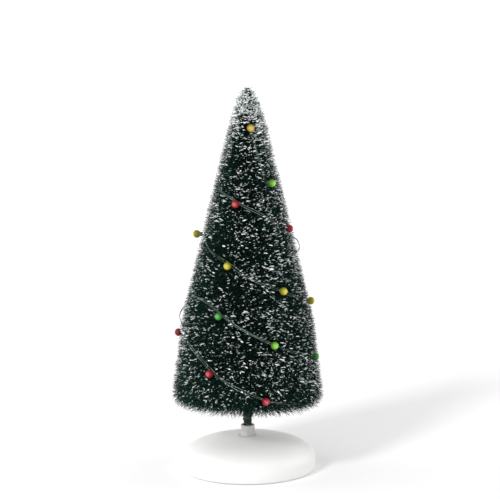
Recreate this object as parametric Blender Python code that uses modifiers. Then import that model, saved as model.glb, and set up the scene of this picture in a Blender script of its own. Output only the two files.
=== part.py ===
"""An artificial tabletop tree: a frosted bottle-brush tree with a string of small round lamps,
standing on a moulded snow-mound base that holds two AAA cells and a slide switch.

Metres, +Z up. The origin is on the ground under the stem, and the front looks along -Y.
Angles round the tree are counted from the front (-Y) towards the right (+X).
"""

import math

import bmesh
import bpy
from mathutils import Matrix, Vector

# Overall sizes
OVERALL_HEIGHT = 0.229
BASE_RADIUS = 0.0398
BRUSH_RADIUS = 0.0437

# Clearances
GAP = 0.0003  # between fixed pieces that touch
PLAY = 0.0002  # round a pin, wire or knob

# Base mound
WALL = 0.0015
RIM_HEIGHT = 0.0005
RIM_TUCK = 0.0011
WIDEST_HEIGHT = 0.005
SHOULDER = 2.55  # power of the mound's round shoulder: 2 is an ellipse, more is fuller
SHOULDER_LEAN = 0.25  # how much fuller the right side is than the left
SIDE_SHARE = 0.4  # of the rings under the widest line, how many make the side; the rest close the floor
SWELL_HEIGHT = 0.0014  # how far the mound rises to the neck
SWELL_RADIUS = 0.008
BAY_HEADROOM = 0.0003

# Underside
FOOT_THICKNESS = 0.0005
FOOT_RADIUS = 0.004
FOOT_INSET = 0.006  # from the plate's edge to the middle of a foot
FOOT_ANGLE = math.radians(55)
PLATE_THICKNESS = 0.0018
SCREW_CIRCLE = 0.76  # of the base's radius
SCREW_ANGLE = math.radians(30)
SCREW_RADIUS = 0.001
SCREW_LENGTH = 0.0075
SCREW_HEAD_RADIUS = 0.0021
SCREW_HEAD_HEIGHT = 0.0011
BOSS_RADIUS = 0.0024

# Cells and their bay
CELL_LENGTH = 0.0445
CELL_RADIUS = 0.00525
NUB_RADIUS = 0.0019
NUB_LENGTH = 0.0008
CELL_SPACE = 0.0007
BAY_SIDE_SPACE = 0.00065
BAY_WALL = 0.001
BAY_ROOF = 0.0006
SPRING_LENGTH = 0.0034
SPRING_RADIUS = 0.0027
SPRING_WIRE = 0.0003
SPRING_TURNS = 3
CONTACT_THICKNESS = 0.0004
CONTACT_SIZE = 0.008
DOOR_THICKNESS = 0.0014
HINGE_PIN_RADIUS = 0.0005
HINGE_PIN_LENGTH = 0.0006
LATCH_HEIGHT = 0.0017

# Slide switch
SWITCH_PLACE = 0.49  # of the base's radius, from the middle
SWITCH_TRAVEL = 0.003
KNOB_LENGTH = 0.003
KNOB_WIDTH = 0.0024
SWITCH_LENGTH = 0.0105
SWITCH_WIDTH = 0.0056
SWITCH_HEIGHT = 0.0045
TERMINAL_LENGTH = 0.0022

# Neck and stem
NECK_LENGTH = 0.0071
NECK_TOP_RADIUS = 0.0041
NECK_FOOT_RADIUS = 0.0046
NECK_BORE = 0.0032
FLANGE_RADIUS = 0.0065
FLANGE_THICKNESS = 0.0014
STEM_WIRE_RADIUS = 0.00065
STEM_TWIST_PITCH = 0.02
STEM_SHOWN = 0.0158  # bare stem between the neck and the lowest fibres
PLUG_LENGTH = 0.005

# Brush: the outline that the fibres are trimmed to, as shares of its length from the tip
# and of its radius. The solid is the dense core, and the fringe outside it is loose tips.
BRUSH_OUTLINE = [
    (0.0, 0.02), (0.03, 0.11), (0.105, 0.229), (0.28, 0.415), (0.51, 0.645),
    (0.74, 0.883), (0.86, 0.945), (0.97, 1.0), (1.0, 0.995),
]
FRINGE = 0.0062
BOTTOM_FRINGE = 0.0035
CORE_STEPS = 36

# Light string
STRAND_RADIUS = 0.0003
STRAND_DEPTH = 0.0044  # how far a strand lies inside the outline
STRAND_SPACING = 0.001
STRAND_STEP = math.radians(15)
LAMP_RADIUS = 0.0025
COLLAR_RADIUS = 0.00135
LEAD_RADIUS = 0.0004
WINDING_RADIUS = 0.0023
WINDING_PITCH = 0.0046

# Heights and sizes that follow from those
PLATE_BOTTOM = FOOT_THICKNESS + GAP
PLATE_TOP = PLATE_BOTTOM + PLATE_THICKNESS
PLATE_RADIUS = BASE_RADIUS - RIM_TUCK - WALL - 2 * GAP
CELL_BOTTOM = PLATE_BOTTOM + DOOR_THICKNESS + GAP
CELL_AXIS = CELL_BOTTOM + CELL_RADIUS
CELL_Y = CELL_RADIUS + CELL_SPACE / 2
BAY_HALF_WIDTH = 2 * CELL_RADIUS + CELL_SPACE / 2 + BAY_SIDE_SPACE
BAY_HALF_LENGTH = (CELL_LENGTH + SPRING_LENGTH + 2 * CONTACT_THICKNESS + 5 * GAP) / 2
BAY_CEILING = CELL_BOTTOM + 2 * CELL_RADIUS + GAP
BAY_TOP = BAY_CEILING + BAY_ROOF
SWITCH_Y = SWITCH_PLACE * BASE_RADIUS
BAY_CORNER = math.hypot(BAY_HALF_LENGTH + BAY_WALL, BAY_HALF_WIDTH + BAY_WALL)
POSITIVE_END = -BAY_HALF_LENGTH + GAP
BRIDGE_END = BAY_HALF_LENGTH - GAP


def shoulder_share(share, power):
    """The mound's height at this share of its radius, as a share of its full height."""
    return (1 - share**power) ** (1 / power)


MOUND_RISE = (BAY_TOP + BAY_HEADROOM + WALL - WIDEST_HEIGHT) / shoulder_share(
    BAY_CORNER / (BASE_RADIUS - WALL), SHOULDER - SHOULDER_LEAN
)
BASE_TOP = WIDEST_HEIGHT + MOUND_RISE
FLANGE_TOP = BASE_TOP - WALL - GAP
FLANGE_BOTTOM = FLANGE_TOP - FLANGE_THICKNESS
NECK_TOP = BASE_TOP + NECK_LENGTH
BRUSH_BOTTOM = NECK_TOP + STEM_SHOWN
BRUSH_LENGTH = OVERALL_HEIGHT - BRUSH_BOTTOM
CORE_BOTTOM = BRUSH_BOTTOM + BOTTOM_FRINGE
STEM_HELIX = STEM_WIRE_RADIUS + PLAY / 2
STEM_RADIUS = STEM_HELIX + STEM_WIRE_RADIUS
STEM_BORE = STEM_RADIUS + PLAY
STEM_BOTTOM = FLANGE_BOTTOM + 2 * GAP
STEM_TOP = OVERALL_HEIGHT - 0.04 * BRUSH_LENGTH
PLUG_BOTTOM = STEM_BOTTOM + GAP
STRAND_IN_NECK = NECK_BORE - STRAND_RADIUS - 1.5 * PLAY

for leftover in list(bpy.data.objects):
    bpy.data.objects.remove(leftover)
parts = bpy.data.collections.new("artificial_tabletop_tree")
cutters = bpy.data.collections.new("cutters")
bpy.context.scene.collection.children.link(parts)
bpy.context.scene.collection.children.link(cutters)


# ---- Materials ----


def finish(name, color, roughness, metallic=0.0):
    """A Principled material."""
    made = bpy.data.materials.new(name)
    made.use_nodes = True
    shader = made.node_tree.nodes["Principled BSDF"]
    shader.inputs["Base Color"].default_value = (*color, 1.0)
    shader.inputs["Roughness"].default_value = roughness
    shader.inputs["Metallic"].default_value = metallic
    return made


SNOW_PLASTIC = finish("snow_white_plastic", (0.85, 0.85, 0.84), 0.2)
NECK_PLASTIC = finish("neck_plastic", (0.6, 0.6, 0.58), 0.35)
GLUE = finish("hot_melt", (0.75, 0.72, 0.62), 0.4)
FOOT_RUBBER = finish("foot_rubber", (0.07, 0.07, 0.07), 0.8)
STEEL = finish("zinc_steel", (0.62, 0.62, 0.6), 0.3, 1.0)
CELL_JACKET = finish("cell_jacket", (0.05, 0.16, 0.35), 0.3)
SWITCH_PLASTIC = finish("black_plastic", (0.03, 0.03, 0.03), 0.45)
RESISTOR_COAT = finish("resistor_coat", (0.65, 0.5, 0.32), 0.5)
RED_LEAD = finish("red_insulation", (0.5, 0.03, 0.02), 0.4)
BLACK_LEAD = finish("black_insulation", (0.03, 0.03, 0.03), 0.4)
STRING_GREEN = finish("green_insulation", (0.03, 0.09, 0.06), 0.35)
FIBRE_GREEN = finish("brush_fibre", (0.01, 0.07, 0.045), 0.8)
STEM_GREEN = finish("painted_stem", (0.02, 0.06, 0.035), 0.5)
LAMP_FINISHES = {
    "amber": finish("lamp_amber", (0.75, 0.4, 0.02), 0.2),
    "lime": finish("lamp_lime", (0.35, 0.75, 0.05), 0.2),
    "red": finish("lamp_red", (0.7, 0.05, 0.06), 0.2),
    "yellow": finish("lamp_yellow", (0.8, 0.7, 0.05), 0.2),
    "green": finish("lamp_green", (0.02, 0.45, 0.12), 0.2),
}


# ---- Shapes ----


def place(name, data, material=None, where=(0, 0, 0)):
    """A new object: a part if it has a material, or else a cutter."""
    made = bpy.data.objects.new(name, data)
    made.location = where
    if material is None:
        cutters.objects.link(made)
        made.hide_render = True
        made.display_type = "WIRE"
    else:
        parts.objects.link(made)
        data.materials.append(material)
    return made


def box(name, low, high, material=None, origin=(0, 0, 0)):
    """A box between two corners in world space."""
    low, high = Vector(low), Vector(high)
    shape = bmesh.new()
    bmesh.ops.create_cube(shape, size=1)
    middle = Matrix.Translation((low + high) / 2 - Vector(origin))
    bmesh.ops.transform(shape, matrix=middle @ Matrix.Diagonal((*(high - low), 1)), verts=shape.verts)
    data = bpy.data.meshes.new(name)
    shape.to_mesh(data)
    shape.free()
    return place(name, data, material, origin)


def rod(name, start, end, radius, material=None, end_radius=None, sides=20, origin=(0, 0, 0)):
    """A cylinder or cone between two points in world space."""
    start, end = Vector(start), Vector(end)
    shape = bmesh.new()
    bmesh.ops.create_cone(
        shape,
        cap_ends=True,
        segments=sides,
        radius1=radius,
        radius2=radius if end_radius is None else end_radius,
        depth=(end - start).length,
    )
    turn = (end - start).to_track_quat("Z", "Y").to_matrix().to_4x4()
    there = Matrix.Translation((start + end) / 2 - Vector(origin))
    bmesh.ops.transform(shape, matrix=there @ turn, verts=shape.verts)
    data = bpy.data.meshes.new(name)
    shape.to_mesh(data)
    shape.free()
    return place(name, data, material, origin)


def turned(name, profile, material, steps, closed=False):
    """A profile of (radius, height), running down its outer side, turned about the Z axis."""
    data = bpy.data.meshes.new(name)
    edges = [(i, i + 1) for i in range(len(profile) - 1)]
    if closed:
        edges.append((len(profile) - 1, 0))
    data.from_pydata([(r, 0, z) for r, z in profile], edges, [])
    made = place(name, data, material)
    turn = made.modifiers.new("turn", "SCREW")
    turn.angle = math.tau
    turn.steps = steps
    turn.render_steps = steps
    turn.use_merge_vertices = True
    turn.merge_threshold = 0.00001
    return made


def wire(name, points, radius, material, sides_level=1):
    """A round wire through these points."""
    data = bpy.data.curves.new(name, "CURVE")
    data.dimensions = "3D"
    data.bevel_depth = radius
    data.bevel_resolution = sides_level
    data.use_fill_caps = True
    line = data.splines.new("POLY")
    line.points.add(len(points) - 1)
    for point, there in zip(line.points, points):
        point.co = (*there, 1)
    return place(name, data, material)


def plain(made):
    """The object's final mesh with its modifiers made real."""
    bpy.context.view_layer.update()
    graph = bpy.context.evaluated_depsgraph_get()
    return bpy.data.meshes.new_from_object(made.evaluated_get(graph))


def cut(made, cutter, operation="DIFFERENCE"):
    """A Boolean on the object."""
    step = made.modifiers.new(cutter.name, "BOOLEAN")
    step.operation = operation
    step.object = cutter
    return made


def on_circle(radius, angle, height=0.0):
    """A point at this angle from the front, counted towards the right."""
    return Vector((radius * math.sin(angle), -radius * math.cos(angle), height))


def curve_value(points, at):
    """A smooth curve through the (x, y) points, read at x."""
    at = min(max(at, points[0][0]), points[-1][0])
    last = len(points) - 1
    k = max(i for i in range(last) if points[i][0] <= at)

    def slope(i):
        before, after = points[max(i - 1, 0)], points[min(i + 1, last)]
        return (after[1] - before[1]) / (after[0] - before[0])

    (x0, y0), (x1, y1) = points[k], points[k + 1]
    width = x1 - x0
    t = (at - x0) / width
    return (
        (1 + 2 * t) * (1 - t) ** 2 * y0
        + t * (1 - t) ** 2 * width * slope(k)
        + t * t * (3 - 2 * t) * y1
        + t * t * (t - 1) * width * slope(k + 1)
    )


def smooth_path(points, each):
    """Points on a smooth curve through the given ones, `each` of them for every stretch."""
    tripled = [points[0], *points, points[-1]]
    path = []
    for a, b, c, d in zip(tripled, tripled[1:], tripled[2:], tripled[3:]):
        for step in range(each):
            t = step / each
            path.append(
                0.5
                * (
                    2 * b
                    + (c - a) * t
                    + (2 * a - 5 * b + 4 * c - d) * t**2
                    + (3 * b - a - 3 * c + d) * t**3
                )
            )
    return path + [points[-1]]


# ---- Base shell and neck ----


def mound(name, inset, bottom, material=None):
    """The mound as a solid: a ball whose points are moved to the round-shouldered form."""
    shape = bmesh.new()
    bmesh.ops.create_uvsphere(shape, u_segments=40, v_segments=20, radius=1)
    outside = material is not None
    for point in shape.verts:
        around = math.atan2(point.co.y, point.co.x)
        power = SHOULDER + SHOULDER_LEAN * math.cos(around)
        level = max(-1.0, min(1.0, point.co.z))
        spread = math.sqrt(1 - level * level)
        radius = BASE_RADIUS - inset
        if outside:
            radius *= 1 + 0.005 * math.cos(3 * around + 0.6)
        if level >= 0:
            away = radius * spread ** (2 / power)
            high = WIDEST_HEIGHT + (MOUND_RISE - inset) * level ** (2 / power)
            if outside:
                high += SWELL_HEIGHT * math.exp(-((away / SWELL_RADIUS) ** 2))
        else:
            below = math.asin(-level) / (math.pi / 2)
            side = min(1, below / SIDE_SHARE)
            floor = max(0, (below - SIDE_SHARE) / (1 - SIDE_SHARE))
            away = (radius - RIM_TUCK * side * side) * (1 - floor)
            high = WIDEST_HEIGHT + (bottom - WIDEST_HEIGHT) * side
        point.co = (away * math.cos(around), away * math.sin(around), high)
    data = bpy.data.meshes.new(name)
    shape.to_mesh(data)
    shape.free()
    return place(name, data, material)


screw_places = [
    on_circle(SCREW_CIRCLE * BASE_RADIUS, turn)
    for turn in (SCREW_ANGLE, -SCREW_ANGLE, math.pi - SCREW_ANGLE, math.pi + SCREW_ANGLE)
]
foot_places = [
    on_circle(PLATE_RADIUS - FOOT_INSET, turn)
    for turn in (FOOT_ANGLE, -FOOT_ANGLE, math.pi - FOOT_ANGLE, math.pi + FOOT_ANGLE)
]

base_shell = mound("base_shell", 0, RIM_HEIGHT, SNOW_PLASTIC)
hollow = mound("shell_hollow", WALL, -GAP)
up = Vector((0, 0, 1))
for number, spot in enumerate(screw_places, 1):
    boss = rod(
        f"boss_{number}", spot + up * (PLATE_TOP + GAP), spot + up * 2 * BASE_TOP, BOSS_RADIUS
    )
    cut(hollow, boss)
cut(base_shell, hollow)
cut(base_shell, rod("neck_hole", (0, 0, BASE_TOP / 2), (0, 0, 2 * BASE_TOP), NECK_FOOT_RADIUS + GAP))
for number, spot in enumerate(screw_places, 1):
    pilot = rod(
        f"pilot_{number}", spot, spot + up * (PLATE_BOTTOM + SCREW_LENGTH + 2 * GAP), SCREW_RADIUS + PLAY
    )
    cut(base_shell, pilot)

turned(
    "neck_collar",
    [
        (NECK_TOP_RADIUS, NECK_TOP),
        (NECK_TOP_RADIUS, BASE_TOP + SWELL_HEIGHT + 0.2 * NECK_LENGTH),
        (
            NECK_TOP_RADIUS + 0.3 * (NECK_FOOT_RADIUS - NECK_TOP_RADIUS),
            BASE_TOP + SWELL_HEIGHT,
        ),
        (NECK_FOOT_RADIUS, BASE_TOP + 0.3 * SWELL_HEIGHT),
        (NECK_FOOT_RADIUS, FLANGE_TOP),
        (FLANGE_RADIUS, FLANGE_TOP),
        (FLANGE_RADIUS, FLANGE_BOTTOM),
        (NECK_BORE, FLANGE_BOTTOM),
        (NECK_BORE, NECK_TOP),
    ],
    NECK_PLASTIC,
    28,
    closed=True,
)

plug_top = PLUG_BOTTOM + PLUG_LENGTH
stem_plug = turned(
    "stem_plug",
    [
        (NECK_BORE - PLAY, plug_top),
        (NECK_BORE - PLAY, PLUG_BOTTOM),
        (STEM_BORE, PLUG_BOTTOM),
        (STEM_BORE, plug_top),
    ],
    GLUE,
    24,
    closed=True,
)
for side in (-1, 1):
    passage = rod(
        f"strand_passage_{side}",
        (side * STRAND_IN_NECK, 0, 0),
        (side * STRAND_IN_NECK, 0, OVERALL_HEIGHT),
        STRAND_RADIUS + PLAY,
        sides=12,
    )
    cut(stem_plug, passage)


# ---- Base plate with the battery bay, its screws and feet ----

base_plate = rod(
    "base_plate", (0, 0, PLATE_BOTTOM), (0, 0, PLATE_TOP), PLATE_RADIUS, SNOW_PLASTIC, sides=64
)
bay_outside = box(
    "bay_outside",
    (-BAY_HALF_LENGTH - BAY_WALL, -BAY_HALF_WIDTH - BAY_WALL, (PLATE_BOTTOM + PLATE_TOP) / 2),
    (BAY_HALF_LENGTH + BAY_WALL, BAY_HALF_WIDTH + BAY_WALL, BAY_TOP),
)
bay_inside = box(
    "bay_inside",
    (-BAY_HALF_LENGTH, -BAY_HALF_WIDTH, -PLATE_TOP),
    (BAY_HALF_LENGTH, BAY_HALF_WIDTH, BAY_CEILING),
)
cut(base_plate, bay_outside, "UNION")
cut(base_plate, bay_inside)

# The hinge axis is set in from the door's edge, so that the door's corner clears the plate as it turns.
door_half_width = BAY_HALF_WIDTH - GAP
hinge = Vector((0, -door_half_width + 0.8 * DOOR_THICKNESS, PLATE_BOTTOM + 0.55 * DOOR_THICKNESS))
cut(
    base_plate,
    rod(
        "hinge_sockets",
        hinge - Vector((BAY_HALF_LENGTH + HINGE_PIN_LENGTH, 0, 0)),
        hinge + Vector((BAY_HALF_LENGTH + HINGE_PIN_LENGTH, 0, 0)),
        HINGE_PIN_RADIUS + PLAY,
        sides=12,
    ),
)
lead_hole_height = CELL_AXIS + 0.25 * CELL_RADIUS
for side in (-1, 1):
    lead_hole = rod(
        f"lead_hole_{side}",
        (-BAY_HALF_LENGTH - 2 * BAY_WALL, side * CELL_Y, lead_hole_height),
        (-BAY_HALF_LENGTH + BAY_WALL, side * CELL_Y, lead_hole_height),
        LEAD_RADIUS + 2 * PLAY,
        sides=12,
    )
    cut(base_plate, lead_hole)
slot_half_length = (KNOB_LENGTH + SWITCH_TRAVEL) / 2 + PLAY
cut(
    base_plate,
    box(
        "switch_slot",
        (-slot_half_length, SWITCH_Y - KNOB_WIDTH / 2 - PLAY, 0),
        (slot_half_length, SWITCH_Y + KNOB_WIDTH / 2 + PLAY, 2 * PLATE_TOP),
    ),
)

screw_head_bottom = PLATE_BOTTOM + GAP
screw_head_top = screw_head_bottom + SCREW_HEAD_HEIGHT
screw = turned(
    "base_screw_1",
    [
        (0, screw_head_bottom + SCREW_LENGTH),
        (0.5 * SCREW_RADIUS, screw_head_bottom + SCREW_LENGTH),
        (SCREW_RADIUS, screw_head_bottom + SCREW_LENGTH - SCREW_RADIUS),
        (SCREW_RADIUS, screw_head_top),
        (SCREW_HEAD_RADIUS, screw_head_bottom + 0.2 * SCREW_HEAD_HEIGHT),
        (SCREW_HEAD_RADIUS, screw_head_bottom),
        (0, screw_head_bottom),
    ],
    STEEL,
    12,
)
screw.location = screw_places[0]
for number, spot in enumerate(screw_places, 1):
    if number > 1:
        copy = screw.copy()
        copy.name = f"base_screw_{number}"
        copy.location = spot
        parts.objects.link(copy)
    sink_slope = (SCREW_HEAD_RADIUS - SCREW_RADIUS) / (0.8 * SCREW_HEAD_HEIGHT)
    sink = rod(
        f"countersink_{number}",
        spot + up * (PLATE_BOTTOM - SCREW_HEAD_HEIGHT),
        spot + up * screw_head_top,
        SCREW_RADIUS + GAP + 2 * SCREW_HEAD_HEIGHT * sink_slope,
        end_radius=SCREW_RADIUS + GAP,
    )
    through = rod(f"screw_way_{number}", spot, spot + up * 2 * PLATE_TOP, SCREW_RADIUS + PLAY)
    cut(base_plate, sink)
    cut(base_plate, through)

for number, spot in enumerate(foot_places, 1):
    rod(f"foot_pad_{number}", spot, spot + up * FOOT_THICKNESS, FOOT_RADIUS, FOOT_RUBBER, sides=24)

battery_door = box(
    "battery_door",
    (-BAY_HALF_LENGTH + GAP, -door_half_width, PLATE_BOTTOM),
    (BAY_HALF_LENGTH - GAP, door_half_width, PLATE_BOTTOM + DOOR_THICKNESS),
    SNOW_PLASTIC,
    origin=hinge,
)
pin_reach = BAY_HALF_LENGTH + HINGE_PIN_LENGTH - PLAY
cut(
    battery_door,
    rod(
        "hinge_pins",
        hinge - Vector((pin_reach, 0, 0)),
        hinge + Vector((pin_reach, 0, 0)),
        HINGE_PIN_RADIUS,
        sides=12,
    ),
    "UNION",
)
latch_middle = door_half_width - 0.5 * BAY_WALL
cut(
    battery_door,
    box(
        "latch_tongue",
        (-3 * BAY_WALL, latch_middle - 0.3 * BAY_WALL, PLATE_BOTTOM + 0.5 * DOOR_THICKNESS),
        (3 * BAY_WALL, latch_middle + 0.3 * BAY_WALL, PLATE_BOTTOM + DOOR_THICKNESS + LATCH_HEIGHT),
    ),
    "UNION",
)
cut(
    battery_door,
    rod(
        "finger_notch",
        (0, 0.72 * door_half_width, PLATE_BOTTOM - 2 * DOOR_THICKNESS),
        (0, 0.72 * door_half_width, PLATE_BOTTOM + 0.4 * DOOR_THICKNESS),
        1.5 * DOOR_THICKNESS,
        sides=24,
    ),
)


# ---- Cells and contacts ----

nub_tip = POSITIVE_END + CONTACT_THICKNESS + GAP
for number, side in ((1, -1), (2, 1)):
    heading = Matrix.Rotation(math.radians(90 * side), 4, "Y")
    cell = turned(
        f"battery_{number}",
        [
            (0, CELL_LENGTH / 2),
            (NUB_RADIUS, CELL_LENGTH / 2),
            (NUB_RADIUS, CELL_LENGTH / 2 - NUB_LENGTH),
            (CELL_RADIUS, CELL_LENGTH / 2 - NUB_LENGTH),
            (CELL_RADIUS, -CELL_LENGTH / 2),
            (0, -CELL_LENGTH / 2),
        ],
        CELL_JACKET,
        28,
    )
    middle = Vector((side * -(nub_tip + CELL_LENGTH / 2), side * CELL_Y, CELL_AXIS))
    cell.matrix_world = Matrix.Translation(middle) @ heading


def contact(name, x, low_y, high_y):
    """A flat spring-steel contact standing at a bay end."""
    half = CONTACT_SIZE / 2
    return box(
        name,
        (min(x), low_y - half, CELL_AXIS - half),
        (max(x), high_y + half, CELL_AXIS + half),
        STEEL,
    )


def spring(name, start_x, end_x, y):
    """A cone-shaped coil that presses on a cell's flat end."""
    each = 9
    points = []
    for step in range(SPRING_TURNS * each + 1):
        share = step / (SPRING_TURNS * each)
        turn = step * math.tau / each
        radius = SPRING_RADIUS * (1 - 0.35 * share)
        along = start_x + (end_x - start_x) * share
        points.append(Vector((along, y + radius * math.cos(turn), CELL_AXIS + radius * math.sin(turn))))
    return wire(name, points, SPRING_WIRE, STEEL)


contact("contact_positive", (POSITIVE_END, POSITIVE_END + CONTACT_THICKNESS), -CELL_Y, -CELL_Y)
contact("contact_bridge", (BRIDGE_END - CONTACT_THICKNESS, BRIDGE_END), -CELL_Y, CELL_Y)
spring_foot = CONTACT_THICKNESS + GAP + SPRING_WIRE
spring_tip = spring_foot + SPRING_LENGTH - 2 * SPRING_WIRE - GAP
spring("spring_bridge", BRIDGE_END - spring_foot, BRIDGE_END - spring_tip, -CELL_Y)
spring("spring_negative", POSITIVE_END + spring_foot, POSITIVE_END + spring_tip, CELL_Y)


# ---- Switch ----

switch_bottom = PLATE_TOP + GAP
switch_housing = box(
    "switch_housing",
    (-SWITCH_LENGTH / 2, SWITCH_Y - SWITCH_WIDTH / 2, switch_bottom),
    (SWITCH_LENGTH / 2, SWITCH_Y + SWITCH_WIDTH / 2, switch_bottom + SWITCH_HEIGHT),
    SWITCH_PLASTIC,
)
tongue_half_length = 0.27 * KNOB_LENGTH
tongue_half_width = 0.3 * KNOB_WIDTH
tongue_top = switch_bottom + 0.45 * SWITCH_HEIGHT
channel_half_length = tongue_half_length + SWITCH_TRAVEL / 2 + PLAY
cut(
    switch_housing,
    box(
        "switch_channel",
        (-channel_half_length, SWITCH_Y - tongue_half_width - PLAY, 0),
        (channel_half_length, SWITCH_Y + tongue_half_width + PLAY, tongue_top + PLAY),
    ),
)
knob_middle = -SWITCH_TRAVEL / 2
knob_bottom = PLATE_BOTTOM - 0.5 * FOOT_THICKNESS
knob_shoulder = PLATE_TOP - PLAY
switch_knob = box(
    "switch_knob",
    (knob_middle - KNOB_LENGTH / 2, SWITCH_Y - KNOB_WIDTH / 2, knob_bottom),
    (knob_middle + KNOB_LENGTH / 2, SWITCH_Y + KNOB_WIDTH / 2, knob_shoulder),
    SWITCH_PLASTIC,
    origin=(knob_middle, SWITCH_Y, PLATE_BOTTOM),
)
cut(
    switch_knob,
    box(
        "knob_tongue",
        (knob_middle - tongue_half_length, SWITCH_Y - tongue_half_width, (knob_bottom + knob_shoulder) / 2),
        (knob_middle + tongue_half_length, SWITCH_Y + tongue_half_width, tongue_top),
    ),
    "UNION",
)
terminal_bottom = switch_bottom + SWITCH_HEIGHT + GAP
terminal_x = 0.3 * SWITCH_LENGTH
for number, side in ((1, -1), (2, 1)):
    box(
        f"switch_terminal_{number}",
        (side * terminal_x - CONTACT_THICKNESS, SWITCH_Y - CONTACT_THICKNESS / 2, terminal_bottom),
        (
            side * terminal_x + CONTACT_THICKNESS,
            SWITCH_Y + CONTACT_THICKNESS / 2,
            terminal_bottom + TERMINAL_LENGTH,
        ),
        STEEL,
    )
terminal_top = terminal_bottom + TERMINAL_LENGTH


# ---- Resistor and inside leads ----

resistor_y = -SWITCH_Y
resistor_half = 0.0018
resistor_lead_half = 0.0045
resistor = turned(
    "resistor",
    [
        (0, resistor_lead_half),
        (SPRING_WIRE, resistor_lead_half),
        (SPRING_WIRE, resistor_half),
        (0.8 * resistor_half / 2 + SPRING_WIRE, 0.9 * resistor_half),
        (0.8 * resistor_half / 2 + SPRING_WIRE, -0.9 * resistor_half),
        (SPRING_WIRE, -resistor_half),
        (SPRING_WIRE, -resistor_lead_half),
        (0, -resistor_lead_half),
    ],
    RESISTOR_COAT,
    12,
)
resistor_height = CELL_AXIS
resistor.matrix_world = Matrix.Translation((0, resistor_y, resistor_height)) @ Matrix.Rotation(
    math.radians(90), 4, "Y"
)

outside_bay = -BAY_HALF_LENGTH - BAY_WALL - 3 * LEAD_RADIUS
contact_back = POSITIVE_END - GAP / 2
lead_ends = {
    "lead_resistor": (
        RED_LEAD,
        -CELL_Y,
        Vector((-resistor_lead_half - GAP, resistor_y, resistor_height)),
        Vector((-resistor_lead_half - 0.006, resistor_y, resistor_height)),
    ),
    "lead_switch": (
        BLACK_LEAD,
        CELL_Y,
        Vector((-terminal_x, SWITCH_Y, terminal_top + GAP + LEAD_RADIUS)),
        Vector((-terminal_x - 0.006, SWITCH_Y, terminal_top)),
    ),
}
for name, (material, cell_y, start, lean) in lead_ends.items():
    side = math.copysign(1, cell_y)
    beside = side * (BAY_HALF_WIDTH + BAY_WALL + 3 * LEAD_RADIUS)
    middle = Vector((0.55 * outside_bay, beside, lead_hole_height))
    corner = Vector((0.97 * outside_bay, beside, lead_hole_height))
    turn = Vector((outside_bay - 2 * LEAD_RADIUS, 0.8 * beside, lead_hole_height))
    hole = Vector((outside_bay, cell_y, lead_hole_height))
    end = Vector((contact_back - GAP / 2, cell_y, lead_hole_height))
    path = smooth_path([start, lean, middle, corner, turn, hole, end], 4)
    wire(name, path, LEAD_RADIUS, material)


# ---- Stem: two wires twisted round each other ----

twist_points = 8
stem_turns = (STEM_TOP - STEM_BOTTOM) / STEM_TWIST_PITCH
stem_steps = math.ceil(stem_turns * twist_points)
for number, phase in ((1, 0), (2, math.pi)):
    helix = []
    for step in range(stem_steps + 1):
        share = step / stem_steps
        turn = phase + share * stem_turns * math.tau
        height = STEM_BOTTOM + share * (STEM_TOP - STEM_BOTTOM)
        helix.append(on_circle(STEM_HELIX, turn, height))
    wire(f"stem_wire_{number}", helix, STEM_WIRE_RADIUS, STEM_GREEN)


# ---- Brush ----


def outline_radius(height):
    """The trimmed outline's radius at this height."""
    share = (OVERALL_HEIGHT - height) / BRUSH_LENGTH
    return BRUSH_RADIUS * curve_value(BRUSH_OUTLINE, share)


core_rings = 15
core_profile = [(0, OVERALL_HEIGHT - GAP)]
for ring in range(core_rings + 1):
    share = (ring / core_rings) ** 1.3
    height = OVERALL_HEIGHT - 0.01 * BRUSH_LENGTH - share * (
        OVERALL_HEIGHT - 0.01 * BRUSH_LENGTH - CORE_BOTTOM
    )
    outline = outline_radius(height)
    core_profile.append((max(outline - FRINGE, 0.45 * outline), height))
core_profile += [
    (STEM_BORE, CORE_BOTTOM + BOTTOM_FRINGE / 3),
    (STEM_BORE, STEM_TOP + GAP),
    (0, STEM_TOP + GAP),
]
turned("bristle_brush", core_profile, FIBRE_GREEN, CORE_STEPS)


# ---- Light string ----

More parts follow.
